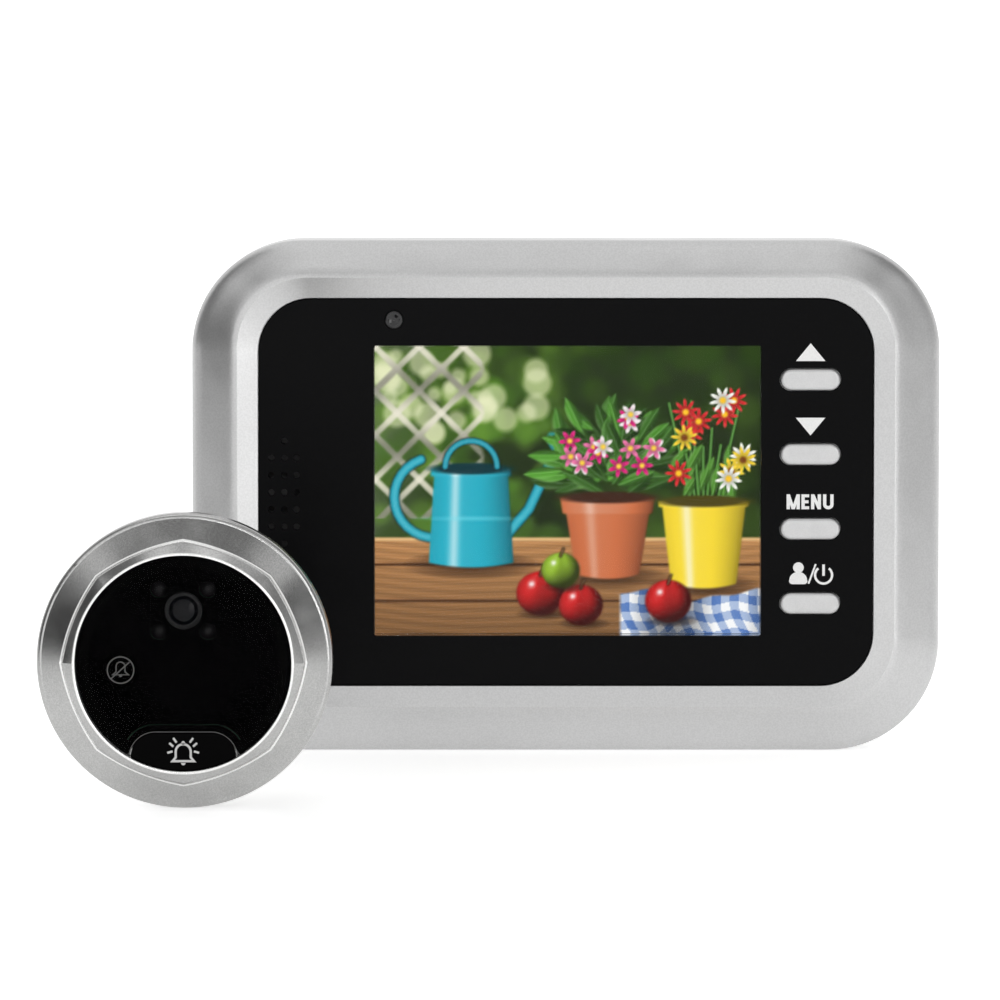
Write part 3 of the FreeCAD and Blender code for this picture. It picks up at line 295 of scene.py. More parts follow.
def grid_mesh(name, points, material, around=True, rows_closed=False, tones=None):
    """A mesh from points[row, column]: columns join up when around, rows when rows_closed.

    Face r, c joins the points (r, c), (r, c + 1), (r + 1, c + 1) and (r + 1, c).
    tones, where given, is one linear colour for each point, kept in the attribute "tone".
    """
    rows, columns = points.shape[:2]
    index = np.arange(rows * columns).reshape(rows, columns)
    if around:
        index = np.concatenate([index, index[:, :1]], axis=1)
    if rows_closed:
        index = np.concatenate([index, index[:1]], axis=0)
    quads = np.stack([index[:-1, :-1], index[:-1, 1:], index[1:, 1:], index[1:, :-1]], axis=-1)
    mesh = bpy.data.meshes.new(name)
    mesh.from_pydata(points.reshape(-1, 3) * MM, [], quads.reshape(-1, 4))
    if tones is not None:
        layer = mesh.attributes.new("tone", "FLOAT_COLOR", "POINT")
        layer.data.foreach_set("color", tones.astype(np.float32).ravel())
    shell = bmesh.new()
    shell.from_mesh(mesh)
    bmesh.ops.remove_doubles(shell, verts=shell.verts, dist=1e-7)
    bmesh.ops.recalc_face_normals(shell, faces=shell.faces)
    shell.to_mesh(mesh)
    shell.free()
    mesh.materials.append(material)
    piece = bpy.data.objects.new(name, mesh)
    bpy.context.scene.collection.objects.link(piece)
    return piece


def joined(name, pieces):
    """Several pieces of one material as one piece."""
    bpy.ops.object.select_all(action="DESELECT")
    for piece in pieces:
        piece.select_set(True)
    bpy.context.view_layer.objects.active = pieces[0]
    bpy.ops.object.join()
    pieces[0].name = pieces[0].data.name = name
    return pieces[0]


def smooth(piece, angle=35):
    """Smooth shading, kept sharp over edges steeper than the angle."""
    bpy.ops.object.select_all(action="DESELECT")
    piece.select_set(True)
    bpy.context.view_layer.objects.active = piece
    bpy.ops.object.shade_smooth_by_angle(angle=math.radians(angle))
    return piece


def placed(piece, body):
    """Rides the piece on its body and reports it."""
    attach(piece, body)
    print(piece.name, "rides on", body, "with", len(piece.data.polygons), "faces")


# %% [markdown]
# ## Printed signs
# The signs beside the keys are white ink, a few hundredths of a millimetre thick. A filled sign is
# a disc whose rim follows the outline. A line is a flat band along its path, mitred at corners.
# Both are closed plates that stand a little proud of the face, so they never flicker against it.

# %% Ink and plates of ink
ink = {"cloud_size": 1.5, "grain": 0.03, "grain_size": 0.12, "relief": 0.001}
ink_white = finish("ink_white", (0.92, 0.92, 0.91), 0.5, clouds=0.02, **ink)
ink_pale = finish("ink_pale", (0.62, 0.62, 0.61), 0.5, clouds=0.03, **ink)
# The dim ink prints the crossed bell, and it also draws the painted highlight round the bell key.
dim_ink_and_edge_highlight = finish("dim_ink_and_edge_highlight", (0.075, 0.075, 0.075), 0.5, clouds=0.05, **ink)
INK, SUNK = 0.03, 0.01


def filled(name, outline, front, material, lift=0.0):
    """A plate: rows are the back's centre, the back rim, the front rim and the front's centre.

    lift raises a plate that overlaps another, so that no two faces share a plane.
    """
    rim = np.asarray(outline, float)
    centre = np.tile(rim.mean(axis=0), (len(rim), 1))
    layers = [(centre, SUNK), (rim, SUNK), (rim, -INK - lift), (centre, -INK - lift)]
    points = np.stack([spots(p[:, 0], front + y, p[:, 1]) for p, y in layers])
    return grid_mesh(name, points, material)


def line(name, path, width, front, material, closed=False):
    """A band of the given width: each point steps aside along the mitre of its two runs."""
    path = np.asarray(path, float)
    ahead = np.roll(path, -1, axis=0) - path
    behind = path - np.roll(path, 1, axis=0)
    if not closed:
        ahead[-1], behind[0] = behind[-1], ahead[0]
    ahead /= np.linalg.norm(ahead, axis=1, keepdims=True)
    behind /= np.linalg.norm(behind, axis=1, keepdims=True)
    side = np.stack([-(ahead + behind)[:, 1], (ahead + behind)[:, 0]], axis=1)
    side /= np.linalg.norm(side, axis=1, keepdims=True)
    across = np.stack([-ahead[:, 1], ahead[:, 0]], axis=1)
    mitre = 1 / np.clip((side * across).sum(axis=1), 0.4, 1)
    side *= (width / 2 * mitre)[:, None]
    ring = [(path + side, -INK), (path - side, -INK), (path - side, SUNK), (path + side, SUNK)]
    points = np.stack([spots(p[:, 0], front + y, p[:, 1]) for p, y in ring], axis=1)
    if not closed:
        ends = points[[0, -1]].mean(axis=1, keepdims=True).repeat(4, axis=1)
        points = np.concatenate([ends[:1], points, ends[1:]])
    return grid_mesh(name, points, material, rows_closed=closed)


def arc(x, z, radius, start, end, count=40):
    """Points on a circle from one angle to another, in degrees, counted from the right."""
    turn = np.radians(np.linspace(start, end, count))
    return np.stack([x + radius * np.cos(turn), z + radius * np.sin(turn)], axis=1)


# %% Places of the keys
face_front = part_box("face_panel")[0].y / MM
key_middle = {}
for key in ("key_up", "key_down", "key_menu", "key_power"):
    low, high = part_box(key)
    key_middle[key] = np.array([(low.x + high.x) / 2, (low.z + high.z) / 2]) / MM
print("face at y", round(face_front, 2))
print("keys at", {key: place.round(2).tolist() for key, place in key_middle.items()})

# %% Arrows
def three_corners(name, key, base, tip, half):
    """A triangle from its base height, its tip height and half its width, above a key."""
    x, z = key_middle[key]
    outline = [(x - half, z + base), (x + half, z + base), (x, z + tip)]
    sides = [np.linspace(outline[i], outline[(i + 1) % 3], 8, endpoint=False) for i in range(3)]
    return filled(name, np.concatenate(sides), face_front, ink_white)


placed(three_corners("print_up", "key_up", 2.36, 4.62, 1.87), "root")
placed(three_corners("print_down", "key_down", 4.65, 2.4, 1.87), "root")

# %% The word over the third key
def bar(foot_x, head_x, wide, foot=0.0, head=1.0):
    """A slanted or upright bar between two heights, with flat ends: four corners."""
    return [(foot_x, foot), (foot_x + wide, foot), (head_x + wide, head), (head_x, head)]


def letter_bars(letter, thick):
    """The bars of a letter one wide and one tall; thick is a bar's width in the same scale."""
    right, level = 1 - thick, 0.2
    upright = [bar(0, 0, thick), bar(right, right, thick)]
    return {
        "M": upright + [bar(0.5 - thick / 2, 0, thick), bar(0.5 - thick / 2, right, thick)],
        "E": [bar(0, 0, thick), bar(0, 0, 1, 0, level), bar(0, 0, 1, 1 - level, 1),
              bar(0, 0, 0.92, 0.5 - level / 2, 0.5 + level / 2)],
        "N": upright + [bar(right, 0, thick)],
        "U": [bar(0, 0, thick, 0.3), bar(right, right, thick, 0.3)],
    }[letter]


BAR_WIDE, LETTER_TALL = 0.42, 1.9
x, z = key_middle["key_menu"]
word = []
for letter, left, wide in [("M", -3.0, 1.68), ("E", -1.12, 0.98), ("N", 0.1, 1.26),
                           ("U", 1.62, 1.34)]:
    for corners in letter_bars(letter, BAR_WIDE / wide):
        place = np.array(corners) * [wide, LETTER_TALL] + [x + left, z + 2.5]
        sides = [np.linspace(place[i], place[(i + 1) % 4], 4, endpoint=False) for i in range(4)]
        lift = 0.0015 * len(word)
        word.append(filled(f"bar_{len(word)}", np.concatenate(sides), face_front, ink_white, lift))
bowl = arc(x + 2.29, z + 3.0, 0.46, 180, 360, 24)
bowl[:, 1] = z + 3.1 + (bowl[:, 1] - z - 3.0) * 0.86
word.append(line("bowl", bowl, BAR_WIDE, face_front, ink_white))
placed(joined("print_menu", word), "root")

# %% Caller sign, slash and power sign over the fourth key
x, z = key_middle["key_power"]
mound = np.concatenate([arc(x - 1.5, z + 3.0, 1.0, 0, 180, 30),
                        arc(x - 2.12, z + 2.86, 0.42, 180, 270, 10),
                        arc(x - 0.86, z + 2.86, 0.42, 270, 360, 10)])
mound[:, 0] = x - 1.5 + (mound[:, 0] - x + 1.5) * 1.12
sign = [filled("caller_mound", mound, face_front, ink_white),
        filled("caller_knob", arc(x - 1.48, z + 4.55, 0.68, 0, 350, 36), face_front, ink_white,
               0.003),
        line("slash", [(x - 0.2, z + 2.5), (x + 0.72, z + 5.0)], 0.24, face_front, ink_white),
        line("power_ring", arc(x + 1.72, z + 3.6, 1.08, 128, 412, 48), 0.3, face_front, ink_white),
        line("power_bar", [(x + 1.72, z + 3.5), (x + 1.72, z + 4.95)], 0.34, face_front, ink_white)]
placed(joined("print_power", sign), "root")

# %% [markdown]
# ## Signs on the round glass
# The bell sign is printed on the moving key, so it rides with that key. The crossed bell is a thin,
# dim print on the glass. Both bells have one outline: a dome, flanks that flare, and a flat foot.

# %% Bell outlines
UNIT_R = 17.4
glass_low, glass_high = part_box("camera_glass")
glass_front = glass_low.y / MM
unit_middle = np.array([(glass_low.x + glass_high.x) / 2 / MM, UNIT_R])


def bell(x, top, half, flare, foot):
    """Half a bell and its mirror: dome of radius half below top, flanks out to flare at foot."""
    dome = arc(x, top - half, half, 0, 180, 24)
    left = [(x - half, foot + 0.75 * (top - foot) * 0.3), (x - flare, foot)]
    return np.array([*dome, *left, (x + flare, foot), (x + half, foot + 0.225 * (top - foot))])


x, z = unit_middle
bell_lines = [line("bell_body", bell(x, z - 9.46, 0.88, 1.25, z - 11.45), 0.27, glass_front,
                   ink_pale, closed=True),
              filled("bell_tip", arc(x, z - 9.3, 0.22, 0, 350, 16), glass_front, ink_pale),
              filled("bell_clapper", arc(x, z - 11.66, 0.27, 180, 360, 12), glass_front, ink_pale)]
for side in (-1, 1):
    for near, far in [((0.78, -9.26), (1.16, -8.73)), ((1.16, -9.73), (1.62, -9.32)),
                      ((1.25, -10.3), (1.86, -10.47))]:
        ray = [(x + side * near[0], z + near[1]), (x + side * far[0], z + far[1])]
        bell_lines.append(line(f"ray_{len(bell_lines)}", ray, 0.25, glass_front, ink_pale))
placed(joined("print_bell", bell_lines), "doorbell_key")

# %% Crossed bell
x, z = unit_middle + [-7.3, -0.75]
quiet = [line("quiet_ring", arc(x, z, 1.55, 0, 352.5, 48), 0.13, glass_front, dim_ink_and_edge_highlight, closed=True),
         line("quiet_bell", bell(x, z + 0.95, 0.52, 0.95, z - 0.55), 0.12, glass_front, dim_ink_and_edge_highlight,
              closed=True),
         filled("quiet_clapper", arc(x, z - 0.62, 0.2, 180, 360, 12), glass_front, dim_ink_and_edge_highlight),
         line("quiet_slash", [(x - 1.12, z - 1.02), (x + 1.04, z + 0.94)], 0.13, glass_front,
              dim_ink_and_edge_highlight)]
placed(joined("print_quiet", quiet), "root")

# %% Painted highlight round the bell key
def through(a, b, c, count=24):
    """Points on the arc from a to c that passes b; its centre is equally far from all three."""
    a, b, c = np.array(a), np.array(b), np.array(c)
    centre = np.linalg.solve(2 * np.array([b - a, c - a]), [b @ b - a @ a, c @ c - a @ a])
    turn = [math.degrees(math.atan2(*(p - centre)[::-1])) for p in (a, c)]
    return arc(*centre, np.linalg.norm(a - centre), *turn, count)


# A thin grey band on the glass along the bell key's shoulder is a painted highlight: it stands for
# the light caught at the key's edge.
shoulder = through((3.45, -8.02), (5.52, -9.0), (6.38, -11.08))
KEY_RIM = 12.5
shoulder = shoulder[np.hypot(*shoulder.T) < KEY_RIM]
highlight_path = np.concatenate([shoulder[::-1] * [-1, 1], shoulder]) + unit_middle
placed(line("key_edge_highlight", highlight_path, 0.08, glass_front, dim_ink_and_edge_highlight), "root")

# %% [markdown]
# ## Round the glass
# A bright turned ring frames the glass, and the glass is printed black behind its edge, so that the
# ledge it sits on doesn't show. The ring is a half-round profile turned about the unit's axis. The
# print is a flat band of an arc, which stops on both sides of the bell key. The flange's slope runs
# up to the collar's eight sides in one sweep, so a thin skirt lies on the slope and carries its
# cone on past the round foot.

# %% Bright ring
def turned(name, radius, out, material, start=0.0, end=360.0, count=180):
    """A closed profile of radii and forward steps, carried round the unit's axis."""
    whole = end - start >= 360
    turn = np.radians(np.linspace(start, end, count, endpoint=not whole))[:, None]
    x, z = unit_middle
    points = spots(x + radius * np.cos(turn), out, z + radius * np.sin(turn))
    if not whole:
        tips = points[[0, -1]].mean(axis=1, keepdims=True).repeat(points.shape[1], axis=1)
        points = np.concatenate([tips[:1], points, tips[1:]])
    return grid_mesh(name, points, material, rows_closed=whole)


# The ring's own polished metal. The collar's ridge below borrows it as a painted highlight.
ring_metal_and_highlight = finish("ring_metal_and_highlight", (0.8, 0.8, 0.79), 0.2, clouds=0.04, cloud_size=3, grain=0.05,
                    grain_size=0.15, relief=0.001, Metallic=0.9)
RING_R, RING_HALF, RING_PROUD = 12.84, 0.17, 0.09
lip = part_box("camera_housing")[0].y / MM
swell = np.radians(np.linspace(0, 180, 9))
profile_r = np.concatenate([RING_R + RING_HALF * np.cos(swell), [12.67, 13.01]])
profile_y = np.concatenate([lip - RING_PROUD * np.sin(swell), [lip + 0.15, lip + 0.02]])
bright_ring = smooth(turned("bright_ring", profile_r, profile_y, ring_metal_and_highlight), 60)
placed(bright_ring, "root")

# %% Collar edge and skirt
def round_unit(name, radius, depth, material):
    """A closed profile at each turn of `turn`, round the unit's axis, on the housing."""
    x, z = unit_middle
    points = spots(x + radius * np.sin(turn), depth, z + radius * np.cos(turn))
    piece = smooth(grid_mesh(name, points, material, rows_closed=True), 30)
    placed(piece, "root")


COLLAR_TALL, ARC_R, ARC_OFF = 5.3, 24.25, 10.18
FOOT_R, FOOT_RISE, CONE, SKIN = 14.6, 1.3, 1.2 / 2.2, 0.012
collar_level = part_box("camera_back")[1].y / MM - COLLAR_TALL
turn = np.radians(np.arange(128) * 360 / 128)[:, None]
off = turn % (math.pi / 4) - math.pi / 8
outline = np.sqrt(ARC_R ** 2 - (ARC_OFF * np.sin(off)) ** 2) - ARC_OFF * np.cos(off)
ridge_s = np.array([0.05, -0.02, -0.19, -0.23, -0.27, -0.42, -0.36, 0.05])
ridge_u = np.array([-0.1, 0.04, 0.32, 0.35, 0.33, 0.22, -0.05, -0.12])
# The collar's edge is a real thin ridge on the casting, but it takes the ring's paler metal instead
# of the casting's, so its brightness is partly a painted highlight along the collar's outline.
round_unit("collar_edge", outline + ridge_s, collar_level - ridge_u, ring_metal_and_highlight)

brink, top_r = 16.72 + 0 * outline, outline - 0.03
skirt_r = np.concatenate([brink, top_r, top_r, brink], axis=1)
skirt_u = CONE * (FOOT_R - skirt_r) + SKIN - np.array([0, 0, 0.5, 0.2])
round_unit("collar_skirt", skirt_r, collar_level + FOOT_RISE - skirt_u, cast_metal)

# %% Black border behind the glass
KEY_SIDE, BORDER_IN, BORDER_OUT = 31.3, 11.2, 12.66
border_black = finish("border_black", (0.001, 0.001, 0.001), 0.6, grain=0.05, relief=0.001,
                      Specular_IOR_Level=0.02)
glass_back = glass_high.y / MM
border = turned("glass_border", np.array([BORDER_IN, BORDER_OUT, BORDER_OUT, BORDER_IN]),
                glass_back - np.array([0.05, 0.05, 0.02, 0.02]), border_black,
                -90 + KEY_SIDE, 270 - KEY_SIDE)
placed(border, "root")

# %% [markdown]
# ## The threaded stub
# The tube behind the camera passes through the door, and the clamp screw goes into it. Its outside
# and its inside are both threaded. A thread is a radius that rises and falls along the length and
# shifts by one pitch for each turn.

# %% Threaded stub
def thread_radius(root, crest, pitch, along, turn):
    """Root to crest and back once for each pitch; the phase goes round with the turn."""
    phase = (along / pitch - turn / (2 * np.pi)) % 1
    return root + (crest - root) * np.clip(1.25 - 2.5 * np.abs(phase - 0.5), 0, 1)


stub_low, stub_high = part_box("door_stub")
stub_x = (stub_low.x + stub_high.x) / 2 / MM
stub_z = (stub_low.z + stub_high.z) / 2 / MM
stub_start, stub_end = stub_low.y / MM, stub_high.y / MM
turn = np.linspace(0, 2 * np.pi, 72, endpoint=False)[None, :]
along = np.linspace(0, stub_end - stub_start, 161)[:, None]
fade = np.clip(np.minimum(along - 0.5, stub_end - stub_start - along) / 0.8, 0, 1)
ROOT_R, CREST_R, BORE_R, PITCH = 6.2, 6.5, 5.7, 1.0
TAP_ROOT, TAP_CREST = 5.75, 5.5
outer = ROOT_R + fade * (thread_radius(ROOT_R, CREST_R, PITCH, along, turn) - ROOT_R)
inner = BORE_R - fade * (BORE_R - thread_radius(TAP_ROOT, TAP_CREST, PITCH, along, turn))
radius = np.concatenate([outer, inner[::-1]])
depth = np.concatenate([along, along[::-1]]) + stub_start
tube = spots(stub_x + radius * np.cos(turn), depth, stub_z + radius * np.sin(turn))
threaded_stub = smooth(grid_mesh("threaded_stub", tube, nickel_turned, rows_closed=True), 50)
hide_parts("door_stub")
placed(threaded_stub, "root")

# %% [markdown]
# ## Case screws
# Four black screws hold the rear cover, deep in their wells. The head is a flat dome with a cross
# recess, and the shank has a coarse thread. One surface does both: a profile turned about the axis,
# whose depth is pressed in where the cross is.

# %% Case screws
def screw_points(x, z, tip, top, shank, head, head_tall):
    """Rows run from the tip up the shank, out under the head, over its edge and to the centre."""
    turn = np.linspace(0, 2 * np.pi, 64, endpoint=False)[None, :]
    rise = np.linspace(0, top - head_tall - tip, 90)[:, None]
    body = thread_radius(shank * 0.8, shank, 0.8, rise, turn) * np.clip(rise / 1.2, 0, 1) ** 0.6
    edge = np.array([[head, 0.0], [head, 0.45], [head - 0.12, 0.62], [head - 0.4, 0.75]])
    face = np.linspace(head - 0.5, 0, 26)
    rows = np.concatenate([edge, np.stack([face, 0.78 + 0.22 * (1 - (face / head) ** 2)], axis=1)])
    around = rows[:, :1] + 0 * turn
    up = rows[:, 1:] * head_tall + 0 * turn
    u, v = np.abs(around * np.cos(turn)), np.abs(around * np.sin(turn))
    slot = np.clip((0.24 - np.minimum(u, v)) / 0.06, 0, 1)
    up = up - 0.75 * (slot * np.clip((1.05 - around) / 0.1, 0, 1))
    radius = np.concatenate([body, around])
    high = np.concatenate([rise + tip + 0 * turn, up + top - head_tall])
    return spots(x + radius * np.cos(turn), high, z + radius * np.sin(turn))


screw_low, screw_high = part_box("case_screws")
SHANK_R, HEAD_R, HEAD_TALL = 1.1, 1.9, 1.4
screws = []
for x in (screw_low.x / MM + HEAD_R, screw_high.x / MM - HEAD_R):
    for z in (screw_low.z / MM + HEAD_R, screw_high.z / MM - HEAD_R):
        points = screw_points(x, z, screw_low.y / MM, screw_high.y / MM, SHANK_R, HEAD_R,
                              HEAD_TALL)
        screws.append(grid_mesh(f"screw_{len(screws)}", points, black_oxide))
cross_screws = smooth(joined("cross_screws", screws), 40)
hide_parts("case_screws")
placed(cross_screws, "root")

# %% [markdown]
# ## Socket pins
# The socket for the unit's ribbon is white nylon with ten square pins of gilded brass. The solid
# has both in one, so each pin gets a thin sleeve: a square of four columns, drawn in at the tip.

# %% Socket pins
pin_gilt = finish("pin_gilt", (0.78, 0.55, 0.24), 0.22, clouds=0.06, cloud_size=0.6, grain=0.03,
                  grain_size=0.08, Metallic=1.0)
socket_low, socket_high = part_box("ribbon_socket")
pin_x = (socket_low.x + socket_high.x) / 2 / MM
PIN_PITCH, PIN_COUNT = 1.25, 10
pin_foot, pin_tip = socket_high.y / MM - 3.65, socket_high.y / MM - 0.8
pin_corner = np.radians([45, 135, 225, 315])[None, :]
pin_half = np.array([0, 0.215, 0.215, 0.13, 0])[:, None]
pin_depth = np.array([pin_foot, pin_foot, pin_tip + 0.01, pin_tip + 0.05, pin_tip + 0.05])[:, None]
pins = []
for number in range(PIN_COUNT):
    pin_z = (socket_low.z + socket_high.z) / 2 / MM + PIN_PITCH * (number - (PIN_COUNT - 1) / 2)
    sleeve = spots(pin_x + pin_half * np.cos(pin_corner) * math.sqrt(2), pin_depth,
                   pin_z + pin_half * np.sin(pin_corner) * math.sqrt(2))
    pins.append(grid_mesh(f"pin_{number}", sleeve, pin_gilt))
placed(joined("socket_pins", pins), "root")

# %% [markdown]
# ## Cells
# Three small cells lie head to foot in the bay. Each is a profile turned about its own axis: a
# dished steel face, a sleeve crimped over both rims, and the nipple. The sleeve's print is a colour
# kept with each point: slate, with a pale grey band at the plus end. The colour's fourth number
# tells the shader where bare metal is.

# %% Cells
CELL_R, CELL_LONG, STAGGER = 5.25, 43.6, 4.3
BAND_AT, MINUS_AT, PLUS_AT, ARM, STROKE = 29, 5, 39, 1.3, 0.3
PRINT_BODY, PRINT_BAND = (0.035, 0.085, 0.13, 0.3), (0.42, 0.45, 0.46, 0.6)
PRINT_WHITE, BARE_STEEL = (0.75, 0.75, 0.74, 0.0), (0.62, 0.6, 0.57, 1.0)


def cell_grid(foot, way, y, z):
    """Rows go along the cell from the minus face to the nipple's tip; columns go round its axis."""
    turn = np.linspace(0, 2 * np.pi, 96, endpoint=False)[None, :]
    minus = [(0.14, 0), (0.14, 3.3), (0.02, 3.7), (0, 4.3), (0.05, 4.78), (0.18, 5.1)]
    wall = [(a, CELL_R) for a in np.linspace(0.4, CELL_LONG - 0.4, 170)]
    plus = [(43.42, 5.1), (43.55, 4.8), (43.58, 4.45), (43.4, 4.2), (43.1, 4.1), (43.1, 2.5),
            (43.2, 2.1), (43.5, 1.9), (44.2, 1.9), (44.4, 1.8), (44.5, 1.6), (44.5, 0)]
    along, radius = np.array(minus + wall + plus).T[:, :, None]
    points = spots(foot + way * along, y + radius * np.sin(turn), z + radius * np.cos(turn))
    tones = np.empty((*points.shape[:2], 4))
    tones[:] = PRINT_BODY
    tones[along[:, 0] > BAND_AT] = PRINT_BAND
    aside = np.abs((turn * 2 / np.pi) % 1 - 0.5) * np.pi / 2 * CELL_R
    ring = np.abs(along - BAND_AT) < STROKE
    minus_sign = (np.abs(along - MINUS_AT) < STROKE) & (aside < ARM)
    plus_sign = ((np.abs(along - PLUS_AT) < STROKE) & (aside < ARM)
                 | (np.abs(along - PLUS_AT) < ARM) & (aside < STROKE))
    marks = ring | minus_sign | plus_sign
    tones[np.broadcast_to(marks, tones.shape[:2])] = PRINT_WHITE
    tones[radius[:, 0] < 4.4] = BARE_STEEL
    return points, tones


bay_low, bay_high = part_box("batteries")
cell_y = (bay_low.y + bay_high.y) / 2 / MM
cells = []
for number in range(3):
    z = bay_low.z / MM + CELL_R + number * (bay_high.z - bay_low.z - 2 * CELL_R * MM) / 2 / MM
    foot, way = (bay_high.x / MM - STAGGER, -1) if number == 1 else (bay_low.x / MM + STAGGER, 1)
    points, tones = cell_grid(foot, way, cell_y, z)
    cells.append(grid_mesh(f"cell_{number}", points, cell_sleeve, tones=tones))
printed_cells = smooth(joined("printed_cells", cells), 40)
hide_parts("batteries")
placed(printed_cells, "root")

# %% [markdown]
# ## The picture on the screen
# A lit display sends out its own light, so its colours are emission, not paint. The picture is
# painted with numpy on a fine grid: a distance to each shape's edge becomes a soft mask, and the
# mask mixes the shape's colour in. It shows a garden bench with pots, fruit and a watering can.

# %% Canvas and brushes
COLUMNS, ROWS = 366, 272
across, up = np.meshgrid(np.linspace(0, 4, COLUMNS), np.linspace(0, 3, ROWS))
canvas = np.zeros((ROWS, COLUMNS, 3))
luck = np.random.default_rng(7)
SOFT = 0.014


def inside(distance, soft=SOFT):
    """One where the distance is below zero, none where above, with a soft step between."""
    return np.clip(0.5 - distance / (2 * soft), 0, 1)


def lay(mask, colour):
    """Mixes a colour, or a picture of colours, into the canvas where the mask is."""
    canvas[:] = canvas + mask[..., None] * (np.asarray(colour) / 255 - canvas)


def ellipse(x, y, wide, tall, tilt=0.0):
    """Rough distance to an ellipse's edge, and the point in its own tilted frame."""
    c, s = math.cos(tilt), math.sin(tilt)
    u = ((across - x) * c + (up - y) * s) / wide
    v = ((up - y) * c - (across - x) * s) / tall
    return (np.hypot(u, v) - 1) * min(wide, tall), u, v


def toned(colour, light):
    """A colour times a picture of light, going to white above one."""
    light = light[..., None]
    base = np.asarray(colour, float)
    return np.clip(base * np.minimum(light, 1) + (255 - base) * np.clip(light - 1, 0, 1), 0, 255)


# %% Hedge, lights and fence
dusk = 0.55 + 0.25 * up / 3 + 0.5 * (across < 1.7) * (1.7 - across) / 1.7
lay(np.ones_like(up), toned((42, 62, 22), dusk))
for _ in range(260):
    x, y, r = luck.uniform(0, 4), luck.uniform(0.8, 3.1), luck.uniform(0.05, 0.2)
    glow = luck.uniform(0.2, 1.0) * (1.0 if x < 1.9 else 0.42)
    green = np.array([60, 100, 26]) * (0.4 + glow)
    green = green + np.array([70, 60, 40]) * glow * luck.uniform(0, 1)
    lay(inside(ellipse(x, y, r, r)[0], 0.05) * 0.5, green)
for _ in range(34):
    x, y, r = luck.uniform(0, 1.7), luck.uniform(2.0, 3.0), luck.uniform(0.06, 0.16)
    lay(inside(ellipse(x, y, r, r)[0], 0.03) * 0.55, (236, 238, 196))
for lean in (-1, 1):
    band = np.abs(((across + lean * up) / 0.46) % 1 - 0.5) * 0.46 - 0.045
    fence = inside(band, 0.02) * (across < 1.15) * (up > 1.2)
    fence = fence * np.clip((1.15 - across) / 0.05, 0, 1)
    lay(fence * 0.85, toned((238, 232, 214), 0.8 + 0.2 * np.sin(up * 9)))
print("background painted")

# %% Bench
grain = 0.9 + 0.06 * np.sin(up * 70 + 2.5 * np.sin(across * 2.1) + 6 * np.sin(across * 0.7))
grain += 0.05 * np.sin(up * 190 + 3 * np.sin(across * 3.3))
seat = inside(up - 0.98, 0.012)
lay(seat, toned((196, 140, 88), grain * (0.72 + 0.32 * up)))
for gap in (0.34, 0.72):
    lay(inside(np.abs(up - gap) - 0.012, 0.012) * 0.9, (58, 32, 18))
lay(inside(np.abs(up - 0.985) - 0.018, 0.012), (232, 186, 130))


def shadow(x, y, wide, tall):
    """A soft dark oval under a thing that stands on the bench."""
    _, u, v = ellipse(x, y, wide, tall)
    lay(np.clip(1.0 - np.hypot(u, v), 0, 1) ** 0.7 * 0.8, (34, 18, 10))


# %% Pots and cans
def vessel(x, foot, top, low_half, high_half, colour, rim=0.0, shine=0.55):
    """A turned vessel: its half width runs from foot to top, and its light falls off sideways."""
    share = np.clip((up - foot) / (top - foot), 0, 1)
    half = low_half + (high_half - low_half) * share
    u = (across - x) / half
    sag = 0.05 * (1 - np.clip(u, -1, 1) ** 2)
    body = inside(np.abs(across - x) - half) * inside(foot - sag - up) * inside(up - top)
    light = 0.42 + 0.62 * np.sqrt(np.clip(1 - (u + 0.25) ** 2 / 1.7, 0, 1))
    light = light + shine * np.exp(-((u + 0.42) / 0.13) ** 2)
    lay(body, toned(colour, light))
    if rim:
        band = inside(np.abs(up - top + rim / 2) - rim / 2)
        lay(inside(np.abs(across - x) - half - 0.035) * band, toned(colour, light * 1.12))
    mouth, _, _ = ellipse(x, top, high_half + (0.035 if rim else 0), 0.06)
    lay(inside(mouth), toned(colour, 0 * up + 0.3))


def tube_stroke(points, thick, colour):
    """A round rod through the points: light across it by the distance to its middle line."""
    away = np.full_like(up, 9.0)
    for (ax, ay), (bx, by) in zip(points[:-1], points[1:]):
        run = np.array([bx - ax, by - ay])
        share = np.clip(((across - ax) * run[0] + (up - ay) * run[1]) / (run @ run), 0, 1)
        away = np.minimum(away, np.hypot(across - ax - share * run[0], up - ay - share * run[1]))
    lay(inside(away - thick), toned(colour, 1.15 - 0.75 * (away / thick) ** 2))


shadow(1.0, 0.72, 0.72, 0.16)
tube_stroke(arc(0.62, 1.42, 0.42, 110, 262, 14), 0.055, (40, 168, 190))
tube_stroke([(1.3, 0.95), (1.6, 1.3), (1.86, 1.86)], 0.06, (40, 168, 190))
vessel(1.0, 0.74, 1.72, 0.44, 0.38, (34, 172, 196), rim=0.08)
tube_stroke(arc(1.0, 1.74, 0.27, 0, 180, 14), 0.035, (30, 150, 172))
rose, _, rose_v = ellipse(1.92, 1.95, 0.17, 0.09, -0.9)
lay(inside(rose), toned((60, 190, 210), 1.0 - 0.4 * np.abs(rose_v)))
lay(inside(ellipse(1.0, 1.2, 0.4, 0.02)[0]) * 0.5, (120, 220, 232))

# %% Leaves and flowers
def leaf(x, y, long, wide, tilt, colour):
    """A pointed leaf with a pale rib: an ellipse whose width shrinks towards its tip."""
    _, u, v = ellipse(x, y, long, wide, tilt)
    mask = inside((np.abs(v) - (1 - u ** 2)) * wide)
    lay(mask * (np.abs(u) < 1), toned(colour, 0.85 + 0.35 * v + 0.3 * np.exp(-(v / 0.12) ** 2)))


def flower(x, y, size, colour, heart, petals=6):
    """Petals by a radius that swells and falls round the middle, shaded towards the heart."""
    turn = np.arctan2(up - y, across - x)
    away = np.hypot(across - x, up - y)
    reach = size * (0.72 + 0.28 * np.cos(petals * turn + x * 9))
    lay(inside(away - reach), toned(colour, 0.62 + 0.5 * away / size))
    lay(inside(away - size * 0.24), heart)


